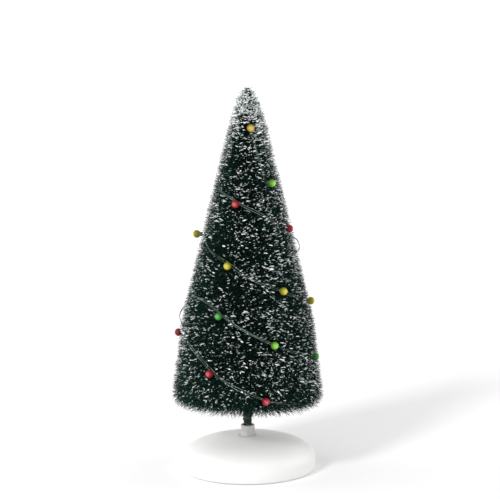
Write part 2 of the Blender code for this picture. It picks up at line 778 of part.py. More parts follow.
# The string's route down the brush: the angle from the front in degrees, growing as it goes round,
# the height as a share of the brush's length, how far it stands out from its usual depth in
# millimetres, and the lamp there, if any.
ROUTE = [
    (9, 0.872, 0, "amber"),
    (30, 0.785, 1.0, None),
    (50, 0.70, -0.8, "lime"),
    (110, 0.68, 1.5, None),
    (180, 0.69, 0, "red"),
    (250, 0.69, 1.5, None),
    (315, 0.663, 1.5, None),
    (341, 0.642, 0, "red"),
    (375, 0.615, 2.0, None),
    (410, 0.575, 1.0, None),
    (438, 0.551, -0.7, "red"),
    (441, 0.538, -0.7, None),
    (448, 0.512, 6.0, None),
    (455, 0.475, 5.5, None),
    (470, 0.46, 0, None),
    (510, 0.475, 0, "amber"),
    (540, 0.495, 1.5, None),
    (570, 0.51, 0, "red"),
    (600, 0.52, 1.5, None),
    (630, 0.529, 3.3, "yellow"),
    (660, 0.49, 1.5, None),
    (697, 0.4545, 0, "yellow"),
    (727, 0.41, 1.5, None),
    (758, 0.374, 0, "yellow"),
    (785, 0.34, 1.0, None),
    (810, 0.3155, 0.7, "yellow"),
    (840, 0.305, 1.5, None),
    (870, 0.30, 0, "green"),
    (915, 0.315, 1.5, None),
    (960, 0.33, 0, "yellow"),
    (1000, 0.337, 1.5, None),
    (1032, 0.337, 1.8, None),
    (1053, 0.302, 0, "green"),
    (1078, 0.257, 2.2, None),
    (1103, 0.214, 0, "lime"),
    (1132, 0.173, 2.0, None),
    (1159, 0.1445, -0.8, "green"),
    (1182, 0.13, 1.2, None),
    (1205, 0.12, 0, "lime"),
    (1234, 0.128, 1.5, None),
    (1262, 0.145, 0, "green"),
    (1282, 0.17, 1.5, None),
    (1300, 0.20, 0, "green"),
    (1335, 0.294, 3.8, None),
    (1343, 0.262, 6.4, None),
    (1350, 0.214, 0.8, "red"),
    (1380, 0.19, 2.2, None),
    (1408, 0.123, 0, "red"),
    (1432, 0.08, 2.0, None),
    (1454, 0.043, 0, "red"),
    (1478, 0.022, 0, None),
]

# After the last lamp it goes under the brush to the stem: the angle, the distance from the stem as
# a share of the brush's radius, and how far it hangs below the brush's core in millimetres.
UNDER_BRUSH = [
    (1502, 0.84, 0.9),
    (1532, 0.62, 1.5),
    (1575, 0.38, 1.8),
    (1630, 0.18, 2.1),
    (1690, 0.085, 2.6),
]


def route_stop(angle, share, out):
    """A chosen point of the route as its angle, its distance from the stem and its height."""
    height = BRUSH_BOTTOM + share * BRUSH_LENGTH
    return math.radians(angle), outline_radius(height) - STRAND_DEPTH + out / 1000, height


def under_stop(angle, share, drop):
    """The same for a point under the brush."""
    return math.radians(angle), share * BRUSH_RADIUS, CORE_BOTTOM - drop / 1000 - STRAND_SPACING


def middle_line():
    """The line between the two strands, at even steps of the angle between the chosen points."""
    stops = [route_stop(*stop[:3]) for stop in ROUTE] + [under_stop(*stop) for stop in UNDER_BRUSH]
    curves = [[(k, stop[j]) for k, stop in enumerate(stops)] for j in range(3)]
    line = []
    for k, (start, after) in enumerate(zip(stops, stops[1:])):
        steps = max(1, round(abs(after[0] - start[0]) / STRAND_STEP))
        for step in range(steps):
            turn, away, height = (curve_value(curve, k + step / steps) for curve in curves)
            line.append(on_circle(away, turn, height))
    return line


def beside(line, shift):
    """The line moved across itself, along the brush's surface."""
    moved = []
    for before, here, after in zip([line[0], *line], line, [*line[1:], line[-1]]):
        outward = Vector((here.x, here.y, 0)).normalized()
        across = outward.cross(after - before).normalized()
        moved.append(here + shift * across)
    return moved


def down_the_stem(start_height, turns, inside_x):
    """The strand's winding round the bare stem, and its way down through the neck."""
    first = math.radians(UNDER_BRUSH[-1][0] + 30)
    steps = round(12 * turns)
    winding = [
        on_circle(WINDING_RADIUS, first + turn * math.tau / 12, start_height - turn * WINDING_PITCH / 12)
        for turn in range(steps + 1)
    ]
    return winding + [
        Vector((inside_x, 0, NECK_TOP - 2 * STRAND_RADIUS)),
        Vector((inside_x, 0, STEM_BOTTOM + PLUG_LENGTH)),
        Vector((inside_x, 0, STEM_BOTTOM)),
    ]


# Inside the base a strand bends over the bay's roof and drops beside it to the resistor or the switch.
over_roof = (BAY_TOP + FLANGE_BOTTOM) / 2
beside_bay = BAY_HALF_WIDTH + BAY_WALL
strand_ends = {
    "string_wire_positive": [
        Vector((STRAND_IN_NECK + 0.0004, -0.0016, over_roof)),
        Vector((STRAND_IN_NECK + 0.0010, -0.5 * beside_bay, over_roof)),
        Vector((0.006, -beside_bay, over_roof - 0.0004)),
        Vector((0.0085, -1.2 * beside_bay, BAY_CEILING - 0.001)),
        Vector((0.0085, resistor_y, resistor_height + 0.002)),
        Vector((0.0070, resistor_y, resistor_height)),
        Vector((resistor_lead_half + GAP, resistor_y, resistor_height)),
    ],
    "string_wire_negative": [
        Vector((-STRAND_IN_NECK - 0.0004, 0.0016, over_roof)),
        Vector((-STRAND_IN_NECK + 0.0010, 0.5 * beside_bay, over_roof)),
        Vector((0.0015, beside_bay, over_roof - 0.0004)),
        Vector((terminal_x, 1.25 * beside_bay, BAY_TOP - 0.0005)),
        Vector((terminal_x, SWITCH_Y, terminal_top + GAP)),
    ],
}
line = middle_line()
winding_top = line[-1].z - STRAND_SPACING
room = (winding_top - NECK_TOP) / WINDING_PITCH - 1
first_turn = (UNDER_BRUSH[-1][0] + 30) / 360
lower_turns = math.floor(room) + (0.75 - first_turn) % 1
# The upper strand winds half a turn more, so that each has its own side of the neck.
for name, side, turns in (
    ("string_wire_positive", 1, lower_turns + 0.5),
    ("string_wire_negative", -1, lower_turns),
):
    tail = down_the_stem(winding_top + side * STRAND_SPACING / 2, turns, side * STRAND_IN_NECK)
    ends = smooth_path([tail[-1], *strand_ends[name]], 3)[1:]
    wire(name, beside(line, side * STRAND_SPACING / 2) + tail + ends, STRAND_RADIUS, STRING_GREEN)


# ---- Lamps ----

collar_back = -(STRAND_DEPTH - STRAND_RADIUS - 2 * GAP)
ball = [
    (LAMP_RADIUS * math.sin(math.radians(a)), LAMP_RADIUS * math.cos(math.radians(a)))
    for a in (0, 30, 60, 90, 120)
]
collar_front = -math.sqrt(LAMP_RADIUS**2 - COLLAR_RADIUS**2)
lamp_pattern = turned(
    "lamp_pattern",
    [*ball, (COLLAR_RADIUS, collar_front), (COLLAR_RADIUS, collar_back), (0, collar_back)],
    LAMP_FINISHES["red"],
    10,
)
lamp_mesh = plain(lamp_pattern)
bpy.data.objects.remove(lamp_pattern)
lit = [stop for stop in ROUTE if stop[3]]
for number, (angle, share, out, color) in enumerate(lit, 1):
    lamp = place(f"lamp_{number:02d}", lamp_mesh.copy(), LAMP_FINISHES[color])
    lamp.data.materials.clear()
    lamp.data.materials.append(LAMP_FINISHES[color])
    turn, away, height = route_stop(angle, share, out)
    middle = on_circle(away + STRAND_DEPTH, turn, height)
    facing = on_circle(1, math.radians(angle)).to_track_quat("Z", "Y").to_matrix().to_4x4()
    lamp.matrix_world = Matrix.Translation(middle) @ facing
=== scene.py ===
import math
import bmesh
import bpy
from mathutils import Matrix, Vector, noise


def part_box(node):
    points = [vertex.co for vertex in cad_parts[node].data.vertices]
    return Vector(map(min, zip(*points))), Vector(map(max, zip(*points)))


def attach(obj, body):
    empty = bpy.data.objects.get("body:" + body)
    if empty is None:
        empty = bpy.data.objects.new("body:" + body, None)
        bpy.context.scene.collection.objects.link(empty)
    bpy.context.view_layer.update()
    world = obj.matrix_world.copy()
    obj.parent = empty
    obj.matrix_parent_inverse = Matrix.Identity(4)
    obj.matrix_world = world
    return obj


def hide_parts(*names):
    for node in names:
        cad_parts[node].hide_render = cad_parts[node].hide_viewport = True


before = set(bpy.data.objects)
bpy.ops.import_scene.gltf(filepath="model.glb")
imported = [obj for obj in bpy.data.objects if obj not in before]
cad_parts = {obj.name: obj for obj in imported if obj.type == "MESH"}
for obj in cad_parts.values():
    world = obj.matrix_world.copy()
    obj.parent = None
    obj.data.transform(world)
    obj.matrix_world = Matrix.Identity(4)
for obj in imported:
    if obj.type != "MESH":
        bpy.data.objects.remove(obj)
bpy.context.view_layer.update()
ROOT = "tree"

# ---- Camera, light and floor ----
# A plain white studio sweep. The key light stands at the front left, well above the camera, and
# throws a soft shadow back to the right. Three soft boxes and white surroundings fill the rest.
scene = bpy.context.scene
scene.view_settings.view_transform = "Standard"

CAMERA_AIM = Vector((0.00135, 0, 0.132))
CAMERA_ELEVATION = math.radians(10.5)
CAMERA_DISTANCE = 1.6
camera = bpy.data.objects.new("camera", bpy.data.cameras.new("camera"))
camera.data.lens = 197
camera.data.sensor_width = 36
camera.location = CAMERA_AIM + CAMERA_DISTANCE * Vector(
    (0, -math.cos(CAMERA_ELEVATION), math.sin(CAMERA_ELEVATION))
)
camera.rotation_euler = (math.pi / 2 - CAMERA_ELEVATION, 0, 0)
scene.collection.objects.link(camera)
scene.camera = camera

key_sun = bpy.data.lights.new("key_light", "SUN")
key_sun.energy = 1.7
key_sun.angle = math.radians(12)
key_light = bpy.data.objects.new("key_light", key_sun)
key_light.rotation_euler = Vector((0.486, 0.679, -0.55)).to_track_quat("-Z", "Y").to_euler()
scene.collection.objects.link(key_light)
LIGHTS_AIM = Vector((0, 0, 0.05))
for name, place, size, power in (
    ("front_box", (-0.45, -1.0, 0.38), 0.5, 2.5),
    ("left_box", (-1.1, 0.25, 0.45), 0.6, 4.0),
    ("right_box", (1.1, 0.35, 0.45), 0.9, 3.4),
):
    lamp = bpy.data.lights.new(name, "AREA")
    lamp.size = size
    lamp.energy = power
    soft_box = bpy.data.objects.new(name, lamp)
    soft_box.location = place
    soft_box.rotation_euler = (LIGHTS_AIM - Vector(place)).to_track_quat("-Z", "Y").to_euler()
    scene.collection.objects.link(soft_box)

world = bpy.data.worlds.new("studio")
scene.world = world
world.use_nodes = True
world.node_tree.nodes["Background"].inputs["Color"].default_value = (1, 1, 1, 1)
world.node_tree.nodes["Background"].inputs["Strength"].default_value = 0.74


def mottle_group():
    """Two close colours mixed in soft patches, with a fine grain for roughness and bump."""
    group = bpy.data.node_groups.new("mottle", "ShaderNodeTree")
    sockets = group.interface
    for name, kind, value in (
        ("Light", "NodeSocketColor", (0.8, 0.8, 0.8, 1)),
        ("Dark", "NodeSocketColor", (0.5, 0.5, 0.5, 1)),
        ("Patches", "NodeSocketFloat", 100.0),
        ("Grain", "NodeSocketFloat", 1000.0),
        ("Smoothest", "NodeSocketFloat", 0.3),
        ("Roughest", "NodeSocketFloat", 0.5),
    ):
        sockets.new_socket(name, in_out="INPUT", socket_type=kind).default_value = value
    sockets.new_socket("Color", in_out="OUTPUT", socket_type="NodeSocketColor")
    sockets.new_socket("Roughness", in_out="OUTPUT", socket_type="NodeSocketFloat")
    sockets.new_socket("Height", in_out="OUTPUT", socket_type="NodeSocketFloat")
    nodes, links = group.nodes, group.links
    given, result = nodes.new("NodeGroupInput"), nodes.new("NodeGroupOutput")
    place = nodes.new("ShaderNodeTexCoord")
    patches, grain = nodes.new("ShaderNodeTexNoise"), nodes.new("ShaderNodeTexNoise")
    patches.inputs["Detail"].default_value = 4
    for texture, scale in ((patches, "Patches"), (grain, "Grain")):
        links.new(place.outputs["Object"], texture.inputs["Vector"])
        links.new(given.outputs[scale], texture.inputs["Scale"])
    spread = nodes.new("ShaderNodeMapRange")
    spread.inputs["From Min"].default_value = 0.35
    spread.inputs["From Max"].default_value = 0.65
    links.new(patches.outputs["Fac"], spread.inputs["Value"])
    # The mix node's sockets 6 and 7 are its two colours, and its output 2 is their mixture.
    mix = nodes.new("ShaderNodeMix")
    mix.data_type = "RGBA"
    links.new(spread.outputs["Result"], mix.inputs[0])
    links.new(given.outputs["Dark"], mix.inputs[6])
    links.new(given.outputs["Light"], mix.inputs[7])
    rough = nodes.new("ShaderNodeMapRange")
    links.new(grain.outputs["Fac"], rough.inputs["Value"])
    links.new(given.outputs["Smoothest"], rough.inputs["To Min"])
    links.new(given.outputs["Roughest"], rough.inputs["To Max"])
    links.new(mix.outputs[2], result.inputs["Color"])
    links.new(rough.outputs["Result"], result.inputs["Roughness"])
    links.new(grain.outputs["Fac"], result.inputs["Height"])
    return group


mottle = mottle_group()
BUMP_HEIGHT = 0.0001


def finish(name, light, dark, patches, grain, smoothest, roughest, bump, **plain):
    """A finish in two close colours with a fine grain. Plain numbers go on the shader itself."""
    material = bpy.data.materials.new(name)
    material.use_nodes = True
    nodes, links = material.node_tree.nodes, material.node_tree.links
    shader = nodes["Principled BSDF"]
    surface = nodes.new("ShaderNodeGroup")
    surface.node_tree = mottle
    for socket, value in zip(
        surface.inputs, ((*light, 1), (*dark, 1), patches, grain, smoothest, roughest)
    ):
        socket.default_value = value
    relief = nodes.new("ShaderNodeBump")
    relief.inputs["Strength"].default_value = bump
    relief.inputs["Distance"].default_value = BUMP_HEIGHT
    links.new(surface.outputs["Color"], shader.inputs["Base Color"])
    links.new(surface.outputs["Roughness"], shader.inputs["Roughness"])
    links.new(surface.outputs["Height"], relief.inputs["Height"])
    links.new(relief.outputs["Normal"], shader.inputs["Normal"])
    for socket, value in plain.items():
        shader.inputs[socket.replace("_", " ")].default_value = value
    return material


def new_piece(name, data, material=None):
    piece = bpy.data.objects.new(name, data)
    scene.collection.objects.link(piece)
    if material:
        data.materials.append(material)
    return piece


def mesh_of(name, points, faces):
    """A smooth mesh from points and faces, with its faces turned outwards."""
    data = bpy.data.meshes.new(name)
    data.from_pydata([tuple(p) for p in points], [], faces)
    shape = bmesh.new()
    shape.from_mesh(data)
    bmesh.ops.recalc_face_normals(shape, faces=shape.faces)
    shape.to_mesh(data)
    shape.free()
    data.shade_smooth()
    return data


FLOOR_HALF = 8.0
paper = finish(
    "studio_paper", (0.72, 0.72, 0.72), (0.71, 0.71, 0.71), 3, 400, 0.9, 1.0, 0.02,
    Emission_Strength=1.0,
)
# The far paper glows a little more, so that it stays as white as the paper near the object.
paper_nodes, paper_links = paper.node_tree.nodes, paper.node_tree.links
paper_place = paper_nodes.new("ShaderNodeTexCoord")
paper_away = paper_nodes.new("ShaderNodeVectorMath")
paper_away.operation = "LENGTH"
paper_glow = paper_nodes.new("ShaderNodeMapRange")
for label, value in (("From Min", 0.25), ("From Max", 1.1), ("To Min", 0.175), ("To Max", 0.36)):
    paper_glow.inputs[label].default_value = value
paper_links.new(paper_place.outputs["Object"], paper_away.inputs[0])
paper_links.new(paper_away.outputs["Value"], paper_glow.inputs["Value"])
paper_shader = paper_nodes["Principled BSDF"]
paper_links.new(paper_glow.outputs["Result"], paper_shader.inputs["Emission Color"])
floor = new_piece(
    "studio_floor",
    mesh_of(
        "studio_floor",
        [(x * FLOOR_HALF, y * FLOOR_HALF, 0) for x, y in ((-1, -1), (1, -1), (1, 1), (-1, 1))],
        [(0, 1, 2, 3)],
    ),
    paper,
)


# ---- Base shell ----
# The snow mound is one thin shell of satin white plastic, a round-shouldered drift a little
# fuller on its right, swelling a little towards the neck, with a rim turned in at the bottom.
BASE_RADIUS = 0.0398
RIM_TUCK = 0.0011
WIDEST_HEIGHT = 0.005
SHOULDER, SHOULDER_LEAN = 2.55, 0.25
OUT_OF_ROUND = 0.005
SWELL_HEIGHT, SWELL_RADIUS = 0.0014, 0.008
SHELL_WALL = 0.0015
LIP_ROUNDING = 0.0003
NECK_FOOT_RADIUS = 0.0046
NECK_FIT = 0.0003
FLANGE_THICKNESS = 0.0014
AROUND_STEPS, PROFILE_STEPS = 144, 34
rim_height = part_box("base_shell")[0].z
base_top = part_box("neck_collar")[0].z + FLANGE_THICKNESS + NECK_FIT + SHELL_WALL
mound_rise = base_top - WIDEST_HEIGHT


def mound_point(around, away_share, inset):
    """A point on the mound's upper side, at this share of its width."""
    power = SHOULDER + SHOULDER_LEAN * math.cos(around)
    radius = (BASE_RADIUS - inset) * (1 + OUT_OF_ROUND * math.cos(3 * around + 0.6))
    away = radius * away_share
    high = WIDEST_HEIGHT + (mound_rise - inset) * (1 - away_share**power) ** (1 / power)
    if inset == 0:
        high += SWELL_HEIGHT * math.exp(-((away / SWELL_RADIUS) ** 2))
    return away, high


def mound_profile(around, inset):
    """The wall's line from the neck hole out to the rim, at this angle."""
    hole = (NECK_FOOT_RADIUS + NECK_FIT) / BASE_RADIUS
    line = []
    for step in range(PROFILE_STEPS + 1):
        share = hole + (1 - hole) * math.sin(math.pi / 2 * step / PROFILE_STEPS)
        line.append(mound_point(around, min(share, 1), inset))
    line[-1] = (line[-1][0], WIDEST_HEIGHT)
    widest = line[-1][0]
    for share in (0.35, 0.6, 0.8, 0.93, 1.0):
        high = WIDEST_HEIGHT + (rim_height - WIDEST_HEIGHT) * share
        line.append((widest - RIM_TUCK * share * share, high))
    return line


shell_points, shell_faces = [], []
for step in range(AROUND_STEPS):
    around = math.tau * step / AROUND_STEPS
    outside, inside = mound_profile(around, 0), mound_profile(around, SHELL_WALL)
    rim = outside[-1][0]
    lip = [(rim, rim_height + LIP_ROUNDING), (rim - 0.3 * SHELL_WALL, rim_height)]
    for away, high in [*outside[:-1], *lip, *reversed(inside)]:
        shell_points.append((away * math.cos(around), away * math.sin(around), high))
ring = len(shell_points) // AROUND_STEPS
for step in range(AROUND_STEPS):
    after = (step + 1) % AROUND_STEPS
    for k in range(ring):
        follow = (k + 1) % ring
        shell_faces.append(
            (step * ring + k, step * ring + follow, after * ring + follow, after * ring + k)
        )
# The white plastic also glows faintly and evenly: painted light that brightens the mound's top,
# shaded by the tree above it.
snow_plastic_painted_glow = finish(
    "snow_white_plastic_gloss", (0.80, 0.81, 0.782), (0.782, 0.77, 0.75),
    45, 900, 0.32, 0.42, 0.03,
    Coat_Weight=0.08, Coat_Roughness=0.3, Specular_IOR_Level=0.35,
    Subsurface_Weight=0.6, Subsurface_Radius=(1, 0.99, 0.96), Subsurface_Scale=0.012,
    Emission_Color=(1, 0.99, 0.97, 1), Emission_Strength=0.12,
)
mound = new_piece("snow_mound", mesh_of("snow_mound", shell_points, shell_faces), snow_plastic_painted_glow)
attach(mound, ROOT)
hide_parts("base_shell")


# ---- Neck collar ----
# A short moulded socket stands on the swell of the mound and grips the stem. Its grey, darker
# than the mound's white, is painted shade from the tree above it. Its lip is rounded, its foot
# flares, and a flange inside the shell holds it up.
NECK_BORE = 0.0032
NECK_TOP_RADIUS = 0.0041
COLLAR_LIP = 0.00045
BORE_CHAMFER = (0.0001, 0.0003)
TURNED_STEPS = 64
collar_low, collar_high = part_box("neck_collar")
neck_top = collar_high.z


def turned(profile, steps=TURNED_STEPS):
    """Points and faces of a closed profile of (radius, height) turned once round the z axis."""
    count = len(profile)
    points = [
        (radius * math.cos(math.tau * s / steps), radius * math.sin(math.tau * s / steps), height)
        for s in range(steps)
        for radius, height in profile
    ]
    faces = []
    for s in range(steps):
        here, after = s * count, (s + 1) % steps * count
        for k in range(count):
            follow = (k + 1) % count
            faces.append((here + k, here + follow, after + follow, after + k))
    return points, faces


neck_length = neck_top - base_top
collar_profile = [
    (NECK_TOP_RADIUS - COLLAR_LIP * (1 - math.sin(a)), neck_top - COLLAR_LIP * (1 - math.cos(a)))
    for a in (0, 0.4, 0.8, 1.2, 1.57)
] + [
    (NECK_TOP_RADIUS + 0.00002, base_top + 0.6 * neck_length),
    (NECK_TOP_RADIUS + 0.0001, base_top + 0.35 * neck_length),
    (NECK_TOP_RADIUS + 0.00028, base_top + 0.2 * neck_length),
    (NECK_FOOT_RADIUS, base_top + 0.06 * neck_length),
    (NECK_FOOT_RADIUS, collar_low.z + FLANGE_THICKNESS),
    (collar_high.x, collar_low.z + FLANGE_THICKNESS),
    (collar_high.x, collar_low.z),
    (NECK_BORE, collar_low.z),
    (NECK_BORE, neck_top - BORE_CHAMFER[1]),
    (NECK_BORE + BORE_CHAMFER[0], neck_top),
]
collar = new_piece(
    "neck_socket",
    mesh_of("neck_socket", *turned(collar_profile)),
    # Painted shade: the socket's grey stands for the tree's shade falling on it.
    finish(
        "neck_plastic_satin", (0.62, 0.62, 0.60), (0.52, 0.52, 0.50), 300, 1500, 0.28, 0.42, 0.1
    ),
)
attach(collar, ROOT)
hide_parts("neck_collar")


# ---- Underside, cells, switch and leads ----
# A white plate screwed under the shell carries the battery bay with its hinged door, the slide
# switch and four rubber feet. Cells, contacts and wires are ordinary bought parts.
CAD_FINISHES = {
    "plate_plastic": (
        ["base_plate", "battery_door"],
        ((0.80, 0.80, 0.78), (0.76, 0.76, 0.74), 60, 1600, 0.3, 0.45, 0.15), {},
    ),
    "hot_melt_glue": (
        ["stem_plug"], ((0.74, 0.71, 0.60), (0.62, 0.58, 0.46), 400, 900, 0.25, 0.5, 0.4),
        {"Subsurface_Weight": 0.15, "Subsurface_Scale": 0.002},
    ),
    "zinc_plated_steel": (
        [f"base_screw_{n}" for n in (1, 2, 3, 4)]
        + ["contact_positive", "contact_bridge", "spring_negative", "spring_bridge"]
        + ["switch_terminal_1", "switch_terminal_2"],
        ((0.66, 0.66, 0.63), (0.54, 0.54, 0.52), 700, 4000, 0.18, 0.38, 0.15), {"Metallic": 1.0},
    ),
    "foot_rubber_matt": (
        [f"foot_pad_{n}" for n in (1, 2, 3, 4)],
        ((0.055, 0.055, 0.055), (0.035, 0.035, 0.035), 500, 3000, 0.7, 0.95, 0.6), {},
    ),
    "switch_black_plastic": (
        ["switch_housing", "switch_knob"],
        ((0.035, 0.035, 0.037), (0.02, 0.02, 0.022), 500, 3000, 0.35, 0.55, 0.3), {},
    ),
    "resistor_lacquer": (
        ["resistor"], ((0.62, 0.48, 0.30), (0.52, 0.39, 0.22), 900, 3000, 0.3, 0.55, 0.2), {},
    ),
    "red_lead_cover": (
        ["lead_resistor"], ((0.50, 0.03, 0.02), (0.38, 0.02, 0.015), 300, 2000, 0.3, 0.5, 0.2), {},
    ),
    "black_lead_cover": (
        ["lead_switch"], ((0.03, 0.03, 0.03), (0.018, 0.018, 0.018), 300, 2000, 0.3, 0.5, 0.2), {},
    ),
    "cell_sleeve": (
        ["battery_1", "battery_2"],
        ((0.05, 0.17, 0.38), (0.035, 0.12, 0.28), 120, 1500, 0.15, 0.3, 0.1), {"Coat_Weight": 0.4},
    ),
}
for name, (covered, mottling, plain) in CAD_FINISHES.items():
    material = finish(name, *mottling, **plain)
    for node in covered:
        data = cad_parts[node].data
        data.materials.clear()
        data.materials.append(material)


# ---- Light string: its way round the tree ----
# Two thin strands run side by side from lamp to lamp down the brush, then under it to the stem.
# The route comes first, because the fibres part for it.
BRUSH_RADIUS = 0.0437
STEM_SHOWN = 0.0158
OVERALL_HEIGHT = 0.229
brush_bottom = neck_top + STEM_SHOWN
brush_length = OVERALL_HEIGHT - brush_bottom
core_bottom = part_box("bristle_brush")[0].z
BRUSH_OUTLINE = [
    (0.0, 0.02), (0.03, 0.11), (0.105, 0.229), (0.28, 0.415), (0.51, 0.645),
    (0.74, 0.883), (0.86, 0.945), (0.97, 1.0), (1.0, 0.995),
]
STRAND_RADIUS = 0.0003
STRAND_DEPTH = 0.0044
STRAND_SPACING = 0.001
STRAND_STEP = math.radians(15)
# Angle from the front towards the right in degrees, height as a share of the brush, how far the
# strands stand out in millimetres, and the lamp there.
ROUTE = [
    (9, 0.872, 0, "amber"), (30, 0.785, 1.0, None), (50, 0.70, -0.8, "lime"),
    (110, 0.68, 1.5, None), (180, 0.69, 0, "red"), (250, 0.69, 1.5, None),
    (315, 0.663, 1.5, None), (341, 0.642, 0, "red"), (375, 0.615, 2.0, None),
    (410, 0.575, 1.0, None), (438, 0.551, -0.7, "red"), (441, 0.538, -0.7, None),
    (448, 0.512, 6.0, None), (455, 0.475, 5.5, None), (470, 0.46, 0, None),
    (510, 0.475, 0, "amber"), (540, 0.495, 1.5, None), (570, 0.51, 0, "red"),
    (600, 0.52, 1.5, None), (630, 0.529, 3.3, "yellow"), (660, 0.49, 1.5, None),
    (697, 0.4545, 0, "yellow"), (727, 0.41, 1.5, None), (758, 0.374, 0, "yellow"),
    (785, 0.34, 1.0, None), (810, 0.3155, 0.7, "yellow"), (840, 0.305, 1.5, None),
    (870, 0.30, 0, "green"), (915, 0.315, 1.5, None), (960, 0.33, 0, "yellow"),
    (1000, 0.337, 1.5, None), (1032, 0.337, 1.8, None), (1053, 0.302, 0, "green"),
    (1078, 0.257, 2.2, None), (1103, 0.214, 0, "lime"), (1132, 0.173, 2.0, None),
    (1159, 0.1445, -0.8, "green"), (1182, 0.13, 1.2, None), (1205, 0.12, 0, "lime"),
    (1234, 0.128, 1.5, None), (1262, 0.145, 0, "green"), (1282, 0.17, 1.5, None),
    (1300, 0.20, 0, "green"), (1335, 0.294, 3.8, None), (1343, 0.262, 6.4, None),
    (1350, 0.214, 0.8, "red"), (1380, 0.19, 2.2, None), (1408, 0.123, 0, "red"),
    (1432, 0.08, 2.0, None), (1454, 0.043, 0, "red"), (1478, 0.022, 0, None),
]
# Under the brush: the angle, the share of the brush's radius and the drop below it in millimetres.
UNDER_BRUSH = [
    (1502, 0.84, 0.9), (1532, 0.62, 1.5), (1575, 0.38, 1.8), (1630, 0.18, 2.1), (1690, 0.085, 2.6),
]
# Only here do the strands lie open between the fibres; elsewhere the fibres hide them.
PARTED_BELOW = 0.31
PARTED_AT = (315, 341, 448, 455)
PARTING_STEPS = 6


def on_circle(radius, angle, height=0.0):
    """A point at this angle from the front, counted towards the right."""
    return Vector((radius * math.sin(angle), -radius * math.cos(angle), height))


def curve_value(points, at):
    """A smooth curve through the (x, y) points, read at x."""
    at = min(max(at, points[0][0]), points[-1][0])
    last = len(points) - 1
    k = max(i for i in range(last) if points[i][0] <= at)

    def slope(i):
        before, after = points[max(i - 1, 0)], points[min(i + 1, last)]
        return (after[1] - before[1]) / (after[0] - before[0])

    (x0, y0), (x1, y1) = points[k], points[k + 1]
    width = x1 - x0
    t = (at - x0) / width
    return (
        (1 + 2 * t) * (1 - t) ** 2 * y0
        + t * (1 - t) ** 2 * width * slope(k)
        + t * t * (3 - 2 * t) * y1
        + t * t * (t - 1) * width * slope(k + 1)
    )


def outline_radius(height):
    """The radius that the fibres are trimmed to at this height."""
    return BRUSH_RADIUS * curve_value(BRUSH_OUTLINE, (OVERALL_HEIGHT - height) / brush_length)


def route_stop(angle, share, out):
    """A stop of the route as its angle, its distance from the stem and its height."""
    height = brush_bottom + share * brush_length
    return math.radians(angle), outline_radius(height) - STRAND_DEPTH + out / 1000, height


stops = [route_stop(*stop[:3]) for stop in ROUTE] + [
    (math.radians(angle), share * BRUSH_RADIUS, core_bottom - drop / 1000 - STRAND_SPACING)
    for angle, share, drop in UNDER_BRUSH
]
stop_curves = [[(k, stop[j]) for k, stop in enumerate(stops)] for j in range(3)]
middle_line, parting = [], []
for k, (start, after) in enumerate(zip(stops, stops[1:])):
    steps = max(1, round(abs(after[0] - start[0]) / STRAND_STEP))
    for step in range(steps):
        turn, away, height = (curve_value(curve, k + step / steps) for curve in stop_curves)
        middle_line.append(on_circle(away, turn, height))
        if k < len(ROUTE) - 1 and (ROUTE[k][1] < PARTED_BELOW or ROUTE[k][0] in PARTED_AT):
            for part in range(PARTING_STEPS):
                turn, _, height = (
                    curve_value(curve, k + (step + part / PARTING_STEPS) / steps)
                    for curve in stop_curves
                )
                parting.append(on_circle(outline_radius(height), turn, height))
lamp_stops = [
    (math.radians(angle), *route_stop(angle, share, out)[1:], color)
    for angle, share, out, color in ROUTE
    if color
]
lamp_middles = [
    on_circle(away + STRAND_DEPTH, angle, height) for angle, away, height, _ in lamp_stops
]


# ---- Brush ----
# Dyed sisal fibres are caught between the two wires of the stem and stand out all round like a
# bottle brush, trimmed to a cone, with a few strays. Flocked snow clings to their tips in flecks
# and clumps, and thinly as dust between them, but not to the lowest ones.
TRIM_RANGE = (-1.0, 0.55)
SNOW_ASLANT, SNOW_DIP = 1.6, 0.45
FIBRE_TAPER = 0.6
FIBRE_BENDS = (0.02, 0.07, 0.13, 0.2)
MIDDLE_OF_FIBRE = -0.45
LUMP_SHAPES = 4
LUMP_NOISE, LUMP_ROUGHNESS = 0.9, 1.5
SNOW_HELD_BACK = -0.38
FEW_LARGE = 3.0
FIBRE_SIZES, SNOW_SIZES = (0.85, 0.35), (0.55, 1.0)


def add(tree, kind, values=None, **settings):
    """A node with these settings, its sockets linked or set by name or place."""
    node = tree.nodes.new(kind)
    for setting, value in settings.items():
        setattr(node, setting, value)
    for socket, value in (values or {}).items():
        if isinstance(value, bpy.types.NodeSocket):
            tree.links.new(value, node.inputs[socket])
        else:
            node.inputs[socket].default_value = value
    return node


